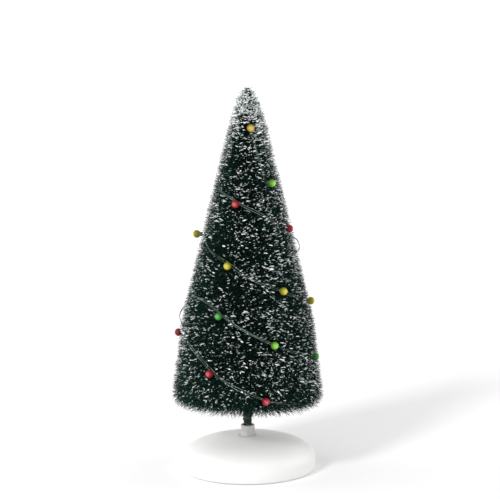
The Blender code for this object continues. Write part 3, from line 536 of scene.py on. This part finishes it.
def bristle_tree():
    """Fibres, or the snow on their tips, growing from points scattered over the brush's outline."""
    tree = bpy.data.node_groups.new("bristles_on_outline", "GeometryNodeTree")
    for name, kind, value in (
        ("Outline", "Geometry", None),
        ("Fibres per square metre", "Float", 1.0e6),
        ("Seed", "Int", 1),
        ("Fibre length", "Float", 0.0095),
        ("Fibre thickness", "Float", 0.0003),
        ("Spread", "Float", 0.2),
        ("Uneven trim", "Float", 0.001),
        ("Lamps", "Object", None),
        ("Room round a lamp", "Float", 0.003),
        ("Strands", "Object", None),
        ("Room round a strand", "Float", 0.001),
        ("Snow", "Bool", False),
        ("Snow length", "Float", 0.003),
        ("Snow thickness", "Float", 0.0008),
        ("Snow sides", "Int", 6),
        ("Snow depth", "Float", 0.0018),
        ("Finish", "Material", None),
    ):
        socket = tree.interface.new_socket(name, in_out="INPUT", socket_type="NodeSocket" + kind)
        if value is not None:
            socket.default_value = value
    tree.interface.new_socket("Bristles", in_out="OUTPUT", socket_type="NodeSocketGeometry")
    given = tree.nodes.new("NodeGroupInput").outputs

    def put(kind, values=None, **settings):
        return add(tree, kind, values, **settings)

    def math_node(operation, *values):
        return put("ShaderNodeMath", dict(enumerate(values)), operation=operation).outputs[0]

    def chance(seed, low=0.0, high=1.0):
        return put("FunctionNodeRandomValue", {2: low, 3: high, 8: seed}).outputs[1]

    scattered = put(
        "GeometryNodeDistributePointsOnFaces",
        {
            "Mesh": given["Outline"],
            "Density": given["Fibres per square metre"],
            "Seed": given["Seed"],
        },
    )
    place = put("GeometryNodeInputPosition").outputs[0]
    apart = put("ShaderNodeSeparateXYZ", {0: place}).outputs
    flat = put("ShaderNodeCombineXYZ", {"X": apart["X"], "Y": apart["Y"]}).outputs[0]
    outward = put("ShaderNodeVectorMath", {0: flat}, operation="NORMALIZE").outputs[0]
    lift = put("GeometryNodeInputNamedAttribute", {"Name": "lift"}, data_type="FLOAT").outputs[0]
    level = put(
        "ShaderNodeVectorMath",
        {0: outward, "Scale": math_node("COSINE", lift)},
        operation="SCALE",
    ).outputs[0]
    rise = put("ShaderNodeCombineXYZ", {"Z": math_node("SINE", lift)}).outputs[0]
    stray = put(
        "FunctionNodeRandomValue", {0: (-1, -1, -1), 1: (1, 1, 1), 8: 11}, data_type="FLOAT_VECTOR"
    ).outputs[0]
    strayed = put(
        "ShaderNodeVectorMath", {0: stray, "Scale": given["Spread"]}, operation="SCALE"
    ).outputs[0]
    straight = put("ShaderNodeVectorMath", {0: level, 1: rise}, operation="ADD").outputs[0]
    aim = put("ShaderNodeVectorMath", {0: straight, 1: strayed}, operation="ADD").outputs[0]
    aim = put("ShaderNodeVectorMath", {0: aim}, operation="NORMALIZE").outputs[0]
    sunk = math_node("MULTIPLY", given["Snow depth"], chance(19))
    sunk = math_node("MULTIPLY", sunk, given["Snow"])
    trim = math_node("MULTIPLY", chance(12, *TRIM_RANGE), given["Uneven trim"])
    trim = math_node("SUBTRACT", trim, sunk)
    shift = put("ShaderNodeVectorMath", {0: aim, "Scale": trim}, operation="SCALE").outputs[0]
    across = put(
        "ShaderNodeVectorMath", {0: (0, 0, 1), 1: outward}, operation="CROSS_PRODUCT"
    ).outputs[0]
    aslant = chance(17, -SNOW_ASLANT, SNOW_ASLANT)
    across = put("ShaderNodeVectorMath", {0: across, "Scale": aslant}, operation="SCALE").outputs[0]
    dip = put("ShaderNodeCombineXYZ", {"Z": chance(18, -SNOW_DIP, SNOW_DIP)}).outputs[0]
    lying = put("ShaderNodeVectorMath", {0: aim, 1: across}, operation="ADD").outputs[0]
    lying = put("ShaderNodeVectorMath", {0: lying, 1: dip}, operation="ADD").outputs[0]
    aim = put(
        "GeometryNodeSwitch", {0: given["Snow"], 1: aim, 2: lying}, input_type="VECTOR"
    ).outputs[0]

    near_lamp = put(
        "GeometryNodeProximity",
        {0: put("GeometryNodeObjectInfo", {"Object": given["Lamps"]}).outputs["Geometry"]},
        target_element="POINTS",
    ).outputs["Distance"]
    near_strand = put(
        "GeometryNodeProximity",
        {0: put("GeometryNodeObjectInfo", {"Object": given["Strands"]}).outputs["Geometry"]},
        target_element="POINTS",
    ).outputs["Distance"]
    cleared = math_node(
        "MAXIMUM",
        math_node("LESS_THAN", near_lamp, given["Room round a lamp"]),
        math_node("LESS_THAN", near_strand, given["Room round a strand"]),
    )
    snowy = put("GeometryNodeInputNamedAttribute", {"Name": "snow"}, data_type="FLOAT").outputs[0]
    bare = math_node("MULTIPLY", math_node("GREATER_THAN", chance(13), snowy), given["Snow"])
    kept = put(
        "GeometryNodeDeleteGeometry",
        {"Geometry": scattered.outputs["Points"], "Selection": math_node("MAXIMUM", cleared, bare)},
    ).outputs[0]
    trimmed = put("GeometryNodeSetPosition", {"Geometry": kept, "Offset": shift}).outputs[0]

    turned_out = put("FunctionNodeAlignRotationToVector", {"Vector": aim}, axis="Z").outputs[0]
    roll = put("ShaderNodeCombineXYZ", {"Z": chance(14, 0.0, math.tau)}).outputs[0]
    roll = put("FunctionNodeEulerToRotation", {0: roll}).outputs[0]
    stance = put(
        "FunctionNodeRotateRotation", {0: turned_out, 1: roll}, rotation_space="LOCAL"
    ).outputs[0]

    fibres = put("GeometryNodeJoinGeometry")
    along = put("GeometryNodeSplineParameter").outputs["Factor"]
    taper = math_node("SUBTRACT", 1.0, math_node("MULTIPLY", along, FIBRE_TAPER))
    profile = put(
        "GeometryNodeCurvePrimitiveCircle",
        {"Resolution": 3, "Radius": math_node("MULTIPLY", given["Fibre thickness"], 0.5)},
    ).outputs[0]
    for bend in FIBRE_BENDS:
        root = put(
            "ShaderNodeCombineXYZ", {"Z": math_node("MULTIPLY", given["Fibre length"], -1.0)}
        ).outputs[0]
        half = put(
            "ShaderNodeCombineXYZ",
            {
                "X": math_node("MULTIPLY", given["Fibre length"], bend),
                "Z": math_node("MULTIPLY", given["Fibre length"], MIDDLE_OF_FIBRE),
            },
        ).outputs[0]
        spine = put(
            "GeometryNodeCurveQuadraticBezier",
            {"Resolution": 3, "Start": root, "Middle": half, "End": (0, 0, 0)},
        ).outputs[0]
        fibre = put(
            "GeometryNodeCurveToMesh",
            {"Curve": spine, "Profile Curve": profile, "Scale": taper, "Fill Caps": True},
        ).outputs[0]
        single = put("GeometryNodeGeometryToInstance", {0: fibre}).outputs[0]
        tree.links.new(single, fibres.inputs[0])

    lumps = put("GeometryNodeJoinGeometry")
    for shape in range(LUMP_SHAPES):
        ball = put(
            "GeometryNodeMeshUVSphere",
            {
                "Segments": given["Snow sides"],
                "Rings": math_node("MULTIPLY", given["Snow sides"], 0.67),
                "Radius": 1.0,
            },
        ).outputs[0]
        rough = put(
            "ShaderNodeTexNoise",
            {"Vector": place, "W": 7.3 * shape, "Scale": LUMP_NOISE, "Detail": 1.0},
            noise_dimensions="4D",
        ).outputs["Color"]
        centred = put("ShaderNodeVectorMath", {0: rough, 1: (0.5, 0.5, 0.5)}, operation="SUBTRACT")
        pushed = put(
            "ShaderNodeVectorMath",
            {0: centred.outputs[0], "Scale": LUMP_ROUGHNESS},
            operation="SCALE",
        ).outputs[0]
        lump = put("GeometryNodeSetPosition", {"Geometry": ball, "Offset": pushed}).outputs[0]
        size = put(
            "ShaderNodeCombineXYZ",
            {
                "X": math_node("MULTIPLY", given["Snow thickness"], 0.5),
                "Y": math_node("MULTIPLY", given["Snow thickness"], 0.5),
                "Z": math_node("MULTIPLY", given["Snow length"], 0.5),
            },
        ).outputs[0]
        back = put(
            "ShaderNodeCombineXYZ",
            {"Z": math_node("MULTIPLY", given["Snow length"], SNOW_HELD_BACK)},
        ).outputs[0]
        lump = put(
            "GeometryNodeTransform", {"Geometry": lump, "Translation": back, "Scale": size}
        ).outputs[0]
        single = put("GeometryNodeGeometryToInstance", {0: lump}).outputs[0]
        tree.links.new(single, lumps.inputs[0])

    pattern = put(
        "GeometryNodeSwitch",
        {"Switch": given["Snow"], "False": fibres.outputs[0], "True": lumps.outputs[0]},
    ).outputs[0]
    unlike = math_node("POWER", chance(15), FEW_LARGE)
    fibre_size, snow_size = (
        math_node("ADD", least, math_node("MULTIPLY", unlike, more))
        for least, more in (FIBRE_SIZES, SNOW_SIZES)
    )
    size = put(
        "GeometryNodeSwitch", {0: given["Snow"], 1: fibre_size, 2: snow_size}, input_type="FLOAT"
    ).outputs[0]
    placed = put(
        "GeometryNodeInstanceOnPoints",
        {
            "Points": trimmed,
            "Instance": pattern,
            "Pick Instance": True,
            "Instance Index": put(
                "FunctionNodeRandomValue", {4: 0, 5: LUMP_SHAPES - 1, 8: 16}, data_type="INT"
            ).outputs[2],
            "Rotation": stance,
            "Scale": put("ShaderNodeCombineXYZ", {"X": size, "Y": size, "Z": size}).outputs[0],
        },
    ).outputs[0]
    grown = put("GeometryNodeRealizeInstances", {0: placed}).outputs[0]
    grown = put("GeometryNodeSetShadeSmooth", {"Geometry": grown}).outputs[0]
    grown = put(
        "GeometryNodeSetMaterial", {"Geometry": grown, "Material": given["Finish"]}
    ).outputs[0]
    tree.links.new(grown, tree.nodes.new("NodeGroupOutput").inputs[0])
    return tree


bristles = bristle_tree()


def grow(name, outline, **values):
    """Grows the tree's bristles on this outline and gives them as a plain mesh."""
    holder = new_piece(name + "_outline", outline)
    growth = holder.modifiers.new("growth", "NODES")
    growth.node_group = bristles
    for socket in bristles.interface.items_tree:
        asked = socket.name.replace(" ", "_")
        if asked in values:
            growth[socket.identifier] = values[asked]
    graph = bpy.context.evaluated_depsgraph_get()
    data = bpy.data.meshes.new_from_object(holder.evaluated_get(graph))
    holder.modifiers.remove(growth)
    bpy.data.objects.remove(holder)
    for left in list(data.attributes):
        if left.name in ("lift", "snow", "id"):
            data.attributes.remove(left)
    return new_piece(name, data)


def points_only(name, points):
    data = bpy.data.meshes.new(name)
    data.from_pydata([tuple(p) for p in points], [], [])
    return new_piece(name, data)


lamp_marks = points_only("lamp_marks", lamp_middles)
strand_marks = points_only("strand_marks", parting)

# How steeply the fibres rise, in degrees, and how likely they carry snow, from the tip downwards.
LIFT_CURVE = [
    (0.0, 78), (0.02, 55), (0.06, 30), (0.15, 16), (0.45, 8), (0.8, 3), (0.93, -4),
    (0.975, -16), (1.0, -26),
]
SNOW_CURVE = [
    (0.0, 0.4), (0.05, 0.56), (0.10, 0.50), (0.15, 0.33), (0.22, 0.22), (0.35, 0.19), (0.5, 0.18),
    (0.86, 0.185), (0.93, 0.17), (0.96, 0.12), (0.985, 0.03), (1.0, 0.0),
]
PATCH_SCALES = (90, 210)
SNOW_PATCHES, SNOW_ON_RIGHT = 0.9, 0.3
AROUND_COUNT = 72


def snow_chance(share, around, point):
    """How likely a fibre carries snow: more near the tip and on the right, in uneven patches."""
    usual = curve_value(SNOW_CURVE, share)
    large, small = (noise.noise(point * scale) for scale in PATCH_SCALES)
    patch = large + 0.5 * small
    uneven = 1 + SNOW_PATCHES * patch + SNOW_ON_RIGHT * math.sin(around)
    return max(0.0, min(1.0, usual * uneven))


def outline_band(name, rings):
    """A band of the outline through these rings of (share of length, radius, height, lift)."""
    points, faces, lifts, snows = [], [], [], []
    for share, radius, height, lift in rings:
        for step in range(AROUND_COUNT):
            around = math.tau * step / AROUND_COUNT
            point = on_circle(radius, around, height)
            points.append(point)
            lifts.append(math.radians(lift))
            snows.append(snow_chance(share, around, point))
    for ring in range(len(rings) - 1):
        for step in range(AROUND_COUNT):
            after = (step + 1) % AROUND_COUNT
            faces.append(
                (
                    ring * AROUND_COUNT + step,
                    (ring + 1) * AROUND_COUNT + step,
                    (ring + 1) * AROUND_COUNT + after,
                    ring * AROUND_COUNT + after,
                )
            )
    data = bpy.data.meshes.new(name)
    data.from_pydata([tuple(p) for p in points], [], faces)
    for label, values in (("lift", lifts), ("snow", snows)):
        data.attributes.new(label, "FLOAT", "POINT").data.foreach_set("value", values)
    return data


OUTLINE_RINGS, CLOSER_AT_TIP = 120, 1.15
TIP_TRIM = 0.0006
UNDER_RISE, HEM_DROP, HEM_LIFT = 0.0035, 0.0016, -36
side_rings = []
for step in range(OUTLINE_RINGS + 1):
    share = (step / OUTLINE_RINGS) ** CLOSER_AT_TIP
    height = OVERALL_HEIGHT - TIP_TRIM - share * (brush_length - TIP_TRIM)
    side_rings.append((share, outline_radius(height), height, curve_value(LIFT_CURVE, share)))
under_rings = [
    (
        1.0, BRUSH_RADIUS * part, brush_bottom + UNDER_RISE * (1 - part) - HEM_DROP,
        HEM_LIFT * part,
    )
    for part in (0.99, 0.9, 0.8, 0.7, 0.6, 0.5, 0.4, 0.3)
]
# The brush is grown in bands, to keep each piece of it small. The last band is its underside.
BANDS = (0.0, 0.14, 0.40, 0.58, 0.73, 0.87, 1.0)
bands = [
    [ring for ring in side_rings if low - 1e-9 <= ring[0] <= high + 1e-9]
    for low, high in zip(BANDS, BANDS[1:])
]
for upper, lower in zip(bands, bands[1:]):
    upper.append(lower[0])
bands.append(under_rings)

fibre_green = finish(
    "sisal_fibre_green", (0.009, 0.055, 0.037), (0.0004, 0.0035, 0.0025),
    600, 1800, 0.6, 0.9, 0.3, Specular_IOR_Level=0.15,
)
# Painted shade: the core's colour is far darker than the fibres' own, for the shade deep inside the
# brush.
fibre_core_painted_shade = finish(
    "sisal_fibre_depths", (0.0015, 0.006, 0.0045), (0.0003, 0.0012, 0.001),
    500, 2500, 0.8, 1.0, 0.8, Specular_IOR_Level=0.05,
)
# The flocked snow glows faintly: painted light that brightens its flecks and clumps.
flock_snow_painted_glow = finish(
    "flocked_snow", (1.0, 1.0, 1.0), (0.30, 0.36, 0.35), 850, 3500, 0.8, 1.0, 0.5,
    Emission_Color=(0.9, 0.95, 0.95, 1), Emission_Strength=0.06,
)
thin_snow = finish(
    "flocked_snow_thin", (0.44, 0.50, 0.49), (0.05, 0.09, 0.08), 1100, 3500, 0.8, 1.0, 0.5
)

# The core is where the fibres stand too close to be told apart. Its colour, far darker than the
# fibres' own, is painted shade for the depths of the brush.
FRINGE_ROOT, LEAST_CORE = 0.0062, 0.45
CORE_RINGS, CORE_STEPS = 60, 96
STEM_ROOM = 0.0017
core_top = OVERALL_HEIGHT - 0.002
core_profile = []
for ring in range(CORE_RINGS + 1):
    height = core_top - (ring / CORE_RINGS) ** 1.2 * (core_top - core_bottom)
    outline = outline_radius(height)
    core_profile.append((max(outline - FRINGE_ROOT, LEAST_CORE * outline), height))
core_profile += [(STEM_ROOM, core_bottom), (STEM_ROOM, OVERALL_HEIGHT - 0.004)]
core_points, core_faces = turned(core_profile, CORE_STEPS)
core = new_piece("brush_core", mesh_of("brush_core", core_points, core_faces), fibre_core_painted_shade)
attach(core, ROOT)
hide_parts("bristle_brush")


def coat(kind, number, rings, **values):
    """A coat of fibres or snow on this band of the brush, as one piece that moves with the tree."""
    piece = grow(
        f"{kind}_{number}", outline_band(f"{kind}_band_{number}", rings),
        Lamps=lamp_marks, Strands=strand_marks, **values,
    )
    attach(piece, ROOT)
    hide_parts("bristle_brush")
    return piece


FIBRE_LENGTH = 0.0105
FIRST_LOOSE_BAND = 6
FIBRES, STRAYS, DUST, CLUMPS = 1.15e6, 3.0e4, 1.1e6, 2.2e4
# Each coat's name, finish, count per square metre and seed; its flecks' length, thickness, sides
# and depth; its room round a lamp and round a strand. The flecks at the very tip are larger.
SNOW_COATS = (
    ("snow_tips", flock_snow_painted_glow, FIBRES, 0, 0.0019, 0.00052, 6, 0.0018, 0.0040, 0.0004),
    ("snow_dust", thin_snow, DUST, 40, 0.0013, 0.00040, 4, 0.0026, 0.0036, 0.0002),
    ("snow_clumps", flock_snow_painted_glow, CLUMPS, 20, 0.0034, 0.0011, 12, 0.0006, 0.0046, 0.0008),
)
TIP_FLECK = (0.0024, 0.00082)
for number, rings in enumerate(bands, 1):
    loose = number >= FIRST_LOOSE_BAND
    trimmed_fibres = coat(
        "bristles", number, rings, Fibres_per_square_metre=FIBRES, Seed=number,
        Finish=fibre_green, Fibre_length=FIBRE_LENGTH, Fibre_thickness=0.00030,
        Spread=0.42 if loose else 0.30, Uneven_trim=0.0028 if loose else 0.0018,
        Room_round_a_lamp=0.0034, Room_round_a_strand=0.0004,
    )
    stray_fibres = coat(
        "stray_fibres", number, rings, Fibres_per_square_metre=STRAYS, Seed=number,
        Finish=fibre_green, Fibre_length=FIBRE_LENGTH, Fibre_thickness=0.00026,
        Spread=0.75, Uneven_trim=0.0055, Room_round_a_lamp=0.0040, Room_round_a_strand=0.0004,
    )
    if number == len(bands):
        continue
    for kind, look, count, seed, length, thickness, sides, depth, *room in SNOW_COATS:
        if kind == "snow_tips" and number == 1:
            length, thickness = TIP_FLECK
        coat(
            kind, number, rings, Fibres_per_square_metre=count, Seed=seed + number, Finish=look,
            Spread=0.3, Uneven_trim=0.0018, Snow=True, Snow_length=length,
            Snow_thickness=thickness, Snow_sides=sides, Snow_depth=depth,
            Room_round_a_lamp=room[0], Room_round_a_strand=room[1],
        )


# ---- Light string: strands ----
# Two thin clear-green insulated wires, held by the fibres, wound round the stem under its tape and
# led down through the neck to the resistor and the switch.
string_green = finish(
    "string_green_cover", (0.22, 0.28, 0.27), (0.08, 0.13, 0.12), 260, 2000, 0.15, 0.3, 0.1,
    Coat_Weight=0.5,
)
STRAND_WANDER, WANDER_SCALE, WANDER_APART = 1.1, 70, 900
THIN_RADIUS = 0.0002
WINDING_RADIUS, WINDING_PITCH, WINDING_STEPS = 0.0023, 0.0046, 12
NECK_ENTRY = 0.0006
STRAND_IN_NECK = NECK_BORE - STRAND_RADIUS - 0.0003


def smooth_path(points, each):
    """Points on a smooth curve through the given ones, `each` of them for every stretch."""
    tripled = [points[0], *points, points[-1]]
    path = []
    for a, b, c, d in zip(tripled, tripled[1:], tripled[2:], tripled[3:]):
        for step in range(each):
            t = step / each
            path.append(
                0.5
                * (
                    2 * b
                    + (c - a) * t
                    + (2 * a - 5 * b + 4 * c - d) * t**2
                    + (3 * b - a - 3 * c + d) * t**3
                )
            )
    return path + [points[-1]]


def wire(name, points, radius, material):
    """A round wire along the points, with closed ends, as a plain mesh."""
    curve = bpy.data.curves.new(name, "CURVE")
    curve.dimensions = "3D"
    curve.bevel_depth = radius
    curve.bevel_resolution = 2
    curve.use_fill_caps = True
    line = curve.splines.new("POLY")
    line.points.add(len(points) - 1)
    for spot, point in zip(line.points, points):
        spot.co = (*point, 1)
    holder = new_piece(name + "_line", curve)
    graph = bpy.context.evaluated_depsgraph_get()
    data = bpy.data.meshes.new_from_object(holder.evaluated_get(graph))
    bpy.data.objects.remove(holder)
    data.materials.clear()
    data.shade_smooth()
    return new_piece(name, data, material)


def beside(line, shift):
    """The line moved across itself, along the brush's surface, wandering a little to and fro."""
    moved = []
    for before, here, after in zip([line[0], *line], line, [*line[1:], line[-1]]):
        outward = Vector((here.x, here.y, 0)).normalized()
        across = outward.cross(after - before).normalized()
        at = here * WANDER_SCALE + Vector((0, 0, WANDER_APART * shift))
        wander = 1 + STRAND_WANDER * noise.noise(at)
        moved.append(here + shift * wander * across)
    return moved


stem_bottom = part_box("stem_wire_1")[0].z
winding_top = middle_line[-1].z - STRAND_SPACING
first_turn = (UNDER_BRUSH[-1][0] + 30) / 360
room = (winding_top - neck_top) / WINDING_PITCH - 1
lower_turns = math.floor(room) + (0.75 - first_turn) % 1
for name, node, side, turns in (
    ("strand_upper", "string_wire_positive", 1, lower_turns + 0.5),
    ("strand_lower", "string_wire_negative", -1, lower_turns),
):
    shift = side * STRAND_SPACING / 2
    top = winding_top + shift
    winding = [
        on_circle(
            WINDING_RADIUS, math.tau * (first_turn + t / WINDING_STEPS),
            top - t * WINDING_PITCH / WINDING_STEPS,
        )
        for t in range(round(WINDING_STEPS * turns) + 1)
    ]
    in_neck = [
        Vector((side * STRAND_IN_NECK, 0, height))
        for height in (neck_top - NECK_ENTRY, stem_bottom + 0.005, stem_bottom)
    ]
    line = smooth_path(beside(middle_line, shift) + winding + in_neck, 4)
    strand = wire(name, line, THIN_RADIUS, string_green)
    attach(strand, ROOT)
    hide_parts(node)


# ---- Stem ----
# Two steel wires painted dark green, twisted round each other, grip the fibres between them.
stem_green = finish(
    "painted_stem_green", (0.018, 0.05, 0.03), (0.01, 0.03, 0.02), 300, 2500, 0.35, 0.6, 0.3
)
STEM_WIRE_RADIUS, STEM_GAP = 0.00065, 0.0001
STEM_PITCH = 0.02
STEM_STEPS = 220
stem_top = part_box("stem_wire_1")[1].z
for number, phase in ((1, 0), (2, math.pi)):
    helix = []
    for step in range(STEM_STEPS + 1):
        height = stem_bottom + step / STEM_STEPS * (stem_top - stem_bottom)
        turn = phase + (height - stem_bottom) / STEM_PITCH * math.tau
        helix.append(on_circle(STEM_WIRE_RADIUS + STEM_GAP, turn, height))
    twisted = wire(f"stem_twist_{number}", helix, STEM_WIRE_RADIUS, stem_green)
    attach(twisted, ROOT)
    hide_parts(f"stem_wire_{number}")


# ---- Stem tape ----
# Dark green floral tape is wound over the strands where they leave the fibres and run down the
# stem, in soft uneven lumps that narrow towards the neck.
TAPE_TOP_RADIUS, TAPE_NECK_RADIUS, TAPE_BORE = 0.0039, 0.0021, 0.0016
TAPE_LUMPS, LUMP_SCALES = 0.0012, (650, 1500)
WRAP_EDGE, WRAP_PITCH = 0.00018, 0.0022
TAPE_RINGS, TAPE_STEPS = 36, 60
tape_bottom, tape_top = neck_top + 0.0001, core_bottom + 0.001
tape_profile = [(TAPE_BORE, tape_bottom)]
for k in range(TAPE_RINGS + 1):
    radius = TAPE_NECK_RADIUS + (TAPE_TOP_RADIUS - TAPE_NECK_RADIUS) * k / TAPE_RINGS
    tape_profile.append((radius, tape_bottom + (tape_top - tape_bottom) * k / TAPE_RINGS))
tape_profile.append((TAPE_BORE, tape_top))
tape_points, tape_faces = turned(tape_profile, TAPE_STEPS)
lumpy = []
for point in tape_points:
    flat = Vector((point[0], point[1], 0))
    large, small = (noise.noise(Vector(point) * scale) for scale in LUMP_SCALES)
    lump = TAPE_LUMPS * (large + 0.5 * small)
    along_wrap = math.atan2(point[1], point[0]) + point[2] / WRAP_PITCH * math.tau
    outer = flat.length > TAPE_BORE + 0.0001
    swollen = (lump + WRAP_EDGE * math.sin(along_wrap)) * outer
    lumpy.append(flat + flat.normalized() * swollen + Vector((0, 0, point[2])))
tape = new_piece(
    "stem_tape",
    mesh_of("stem_tape", lumpy, tape_faces),
    finish(
        "floral_tape_green", (0.010, 0.026, 0.018), (0.002, 0.007, 0.005), 900, 2500, 0.5, 0.8, 0.5
    ),
)
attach(tape, ROOT)


# ---- Lamps ----
# Each lamp is a small moulded globe of clear coloured plastic over its light, on a green collar
# that sits on the strands. Lit, it is brightest where it faces outwards and darker at its edge.
LAMP_RADIUS, COLLAR_RADIUS = 0.0023, 0.00125
COLLAR_RING, COLLAR_OVERLAP = 0.00012, 0.0003
GLOBE_STEPS, COLLAR_STEPS = 28, 20
LAMP_COLOURS = {
    "amber": (0.62, 0.42, 0.05),
    "lime": (0.22, 0.62, 0.04),
    "red": (0.48, 0.02, 0.03),
    "yellow": (0.60, 0.55, 0.02),
    "green": (0.06, 0.34, 0.05),
}


def lamp_finish(color, bright):
    """Coloured plastic lit from inside, brightest at its outer end."""
    body = tuple(0.12 * c for c in bright)
    material = finish(
        f"lamp_{color}_globe", body, tuple(0.6 * c for c in body), 700, 2500, 0.2, 0.35, 0.1,
        Emission_Strength=1.0, Specular_IOR_Level=0.3,
    )
    nodes, links = material.node_tree.nodes, material.node_tree.links
    glow = nodes.new("ShaderNodeAttribute")
    glow.attribute_name = "glow"
    ramp = nodes.new("ShaderNodeValToRGB")
    stops = ramp.color_ramp.elements
    stops[0].position, stops[0].color = 0.5, (*(0.16 * c for c in bright), 1)
    stops[1].position, stops[1].color = 0.995, (*(0.85 * c + 0.12 for c in bright), 1)
    for place, share in ((0.76, 0.3), (0.93, 0.85)):
        stops.new(place).color = (*(share * c for c in bright), 1)
    links.new(glow.outputs["Fac"], ramp.inputs["Fac"])
    links.new(ramp.outputs["Color"], nodes["Principled BSDF"].inputs["Emission Color"])
    return material


lamp_finishes = {color: lamp_finish(color, bright) for color, bright in LAMP_COLOURS.items()}
globe_profile = [
    (LAMP_RADIUS * math.sin(math.radians(a)), LAMP_RADIUS * math.cos(math.radians(a)))
    for a in (0, 8, 16, 26, 36, 48, 60, 72, 84, 96, 108, 120, 132, 142)
]
collar_front = -math.sqrt(LAMP_RADIUS**2 - COLLAR_RADIUS**2)
collar_back = -(STRAND_DEPTH - STRAND_RADIUS - 0.0006)
collar_line = [
    (0, collar_front + COLLAR_OVERLAP),
    (COLLAR_RADIUS, collar_front + COLLAR_OVERLAP),
    (COLLAR_RADIUS + COLLAR_RING, collar_front),
    (COLLAR_RADIUS + COLLAR_RING, collar_front - 0.0003),
    (COLLAR_RADIUS, collar_front - 0.0004),
    (COLLAR_RADIUS - 0.0001, collar_back),
    (0, collar_back),
]


def capped(profile, steps):
    """Points and faces of a profile of (radius, height) from axis to axis, turned once round."""
    points = [(0, 0, profile[0][1])]
    for radius, height in profile[1:-1]:
        for s in range(steps):
            turn = math.tau * s / steps
            points.append((radius * math.cos(turn), radius * math.sin(turn), height))
    points.append((0, 0, profile[-1][1]))
    faces, rings = [], len(profile) - 2
    for s in range(steps):
        after = (s + 1) % steps
        faces.append((0, 1 + s, 1 + after))
        for k in range(rings - 1):
            a, b = 1 + k * steps, 1 + (k + 1) * steps
            faces.append((a + s, b + s, b + after, a + after))
        last = 1 + (rings - 1) * steps
        faces.append((last + s, len(points) - 1, last + after))
    return points, faces


globe_profile.append((0, globe_profile[-1][1] + 0.00005))
globe_points, globe_faces = capped(globe_profile, GLOBE_STEPS)
for number, ((angle, _, _, color), middle) in enumerate(zip(lamp_stops, lamp_middles), 1):
    outwards = on_circle(1, angle).to_track_quat("Z", "Y")
    facing = Matrix.Translation(middle) @ outwards.to_matrix().to_4x4()
    data = mesh_of(f"lamp_globe_{number:02d}", globe_points, globe_faces)
    glow = data.attributes.new("glow", "FLOAT", "POINT")
    glow.data.foreach_set("value", [0.5 + 0.5 * p[2] / LAMP_RADIUS for p in globe_points])
    data.transform(facing)
    globe = new_piece(f"lamp_globe_{number:02d}", data, lamp_finishes[color])
    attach(globe, ROOT)
    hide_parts(f"lamp_{number:02d}")
    data = mesh_of(f"lamp_collar_{number:02d}", *capped(collar_line, COLLAR_STEPS))
    data.transform(facing)
    socket = new_piece(f"lamp_collar_{number:02d}", data, string_green)
    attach(socket, ROOT)

for mark in (lamp_marks, strand_marks):
    bpy.data.objects.remove(mark)
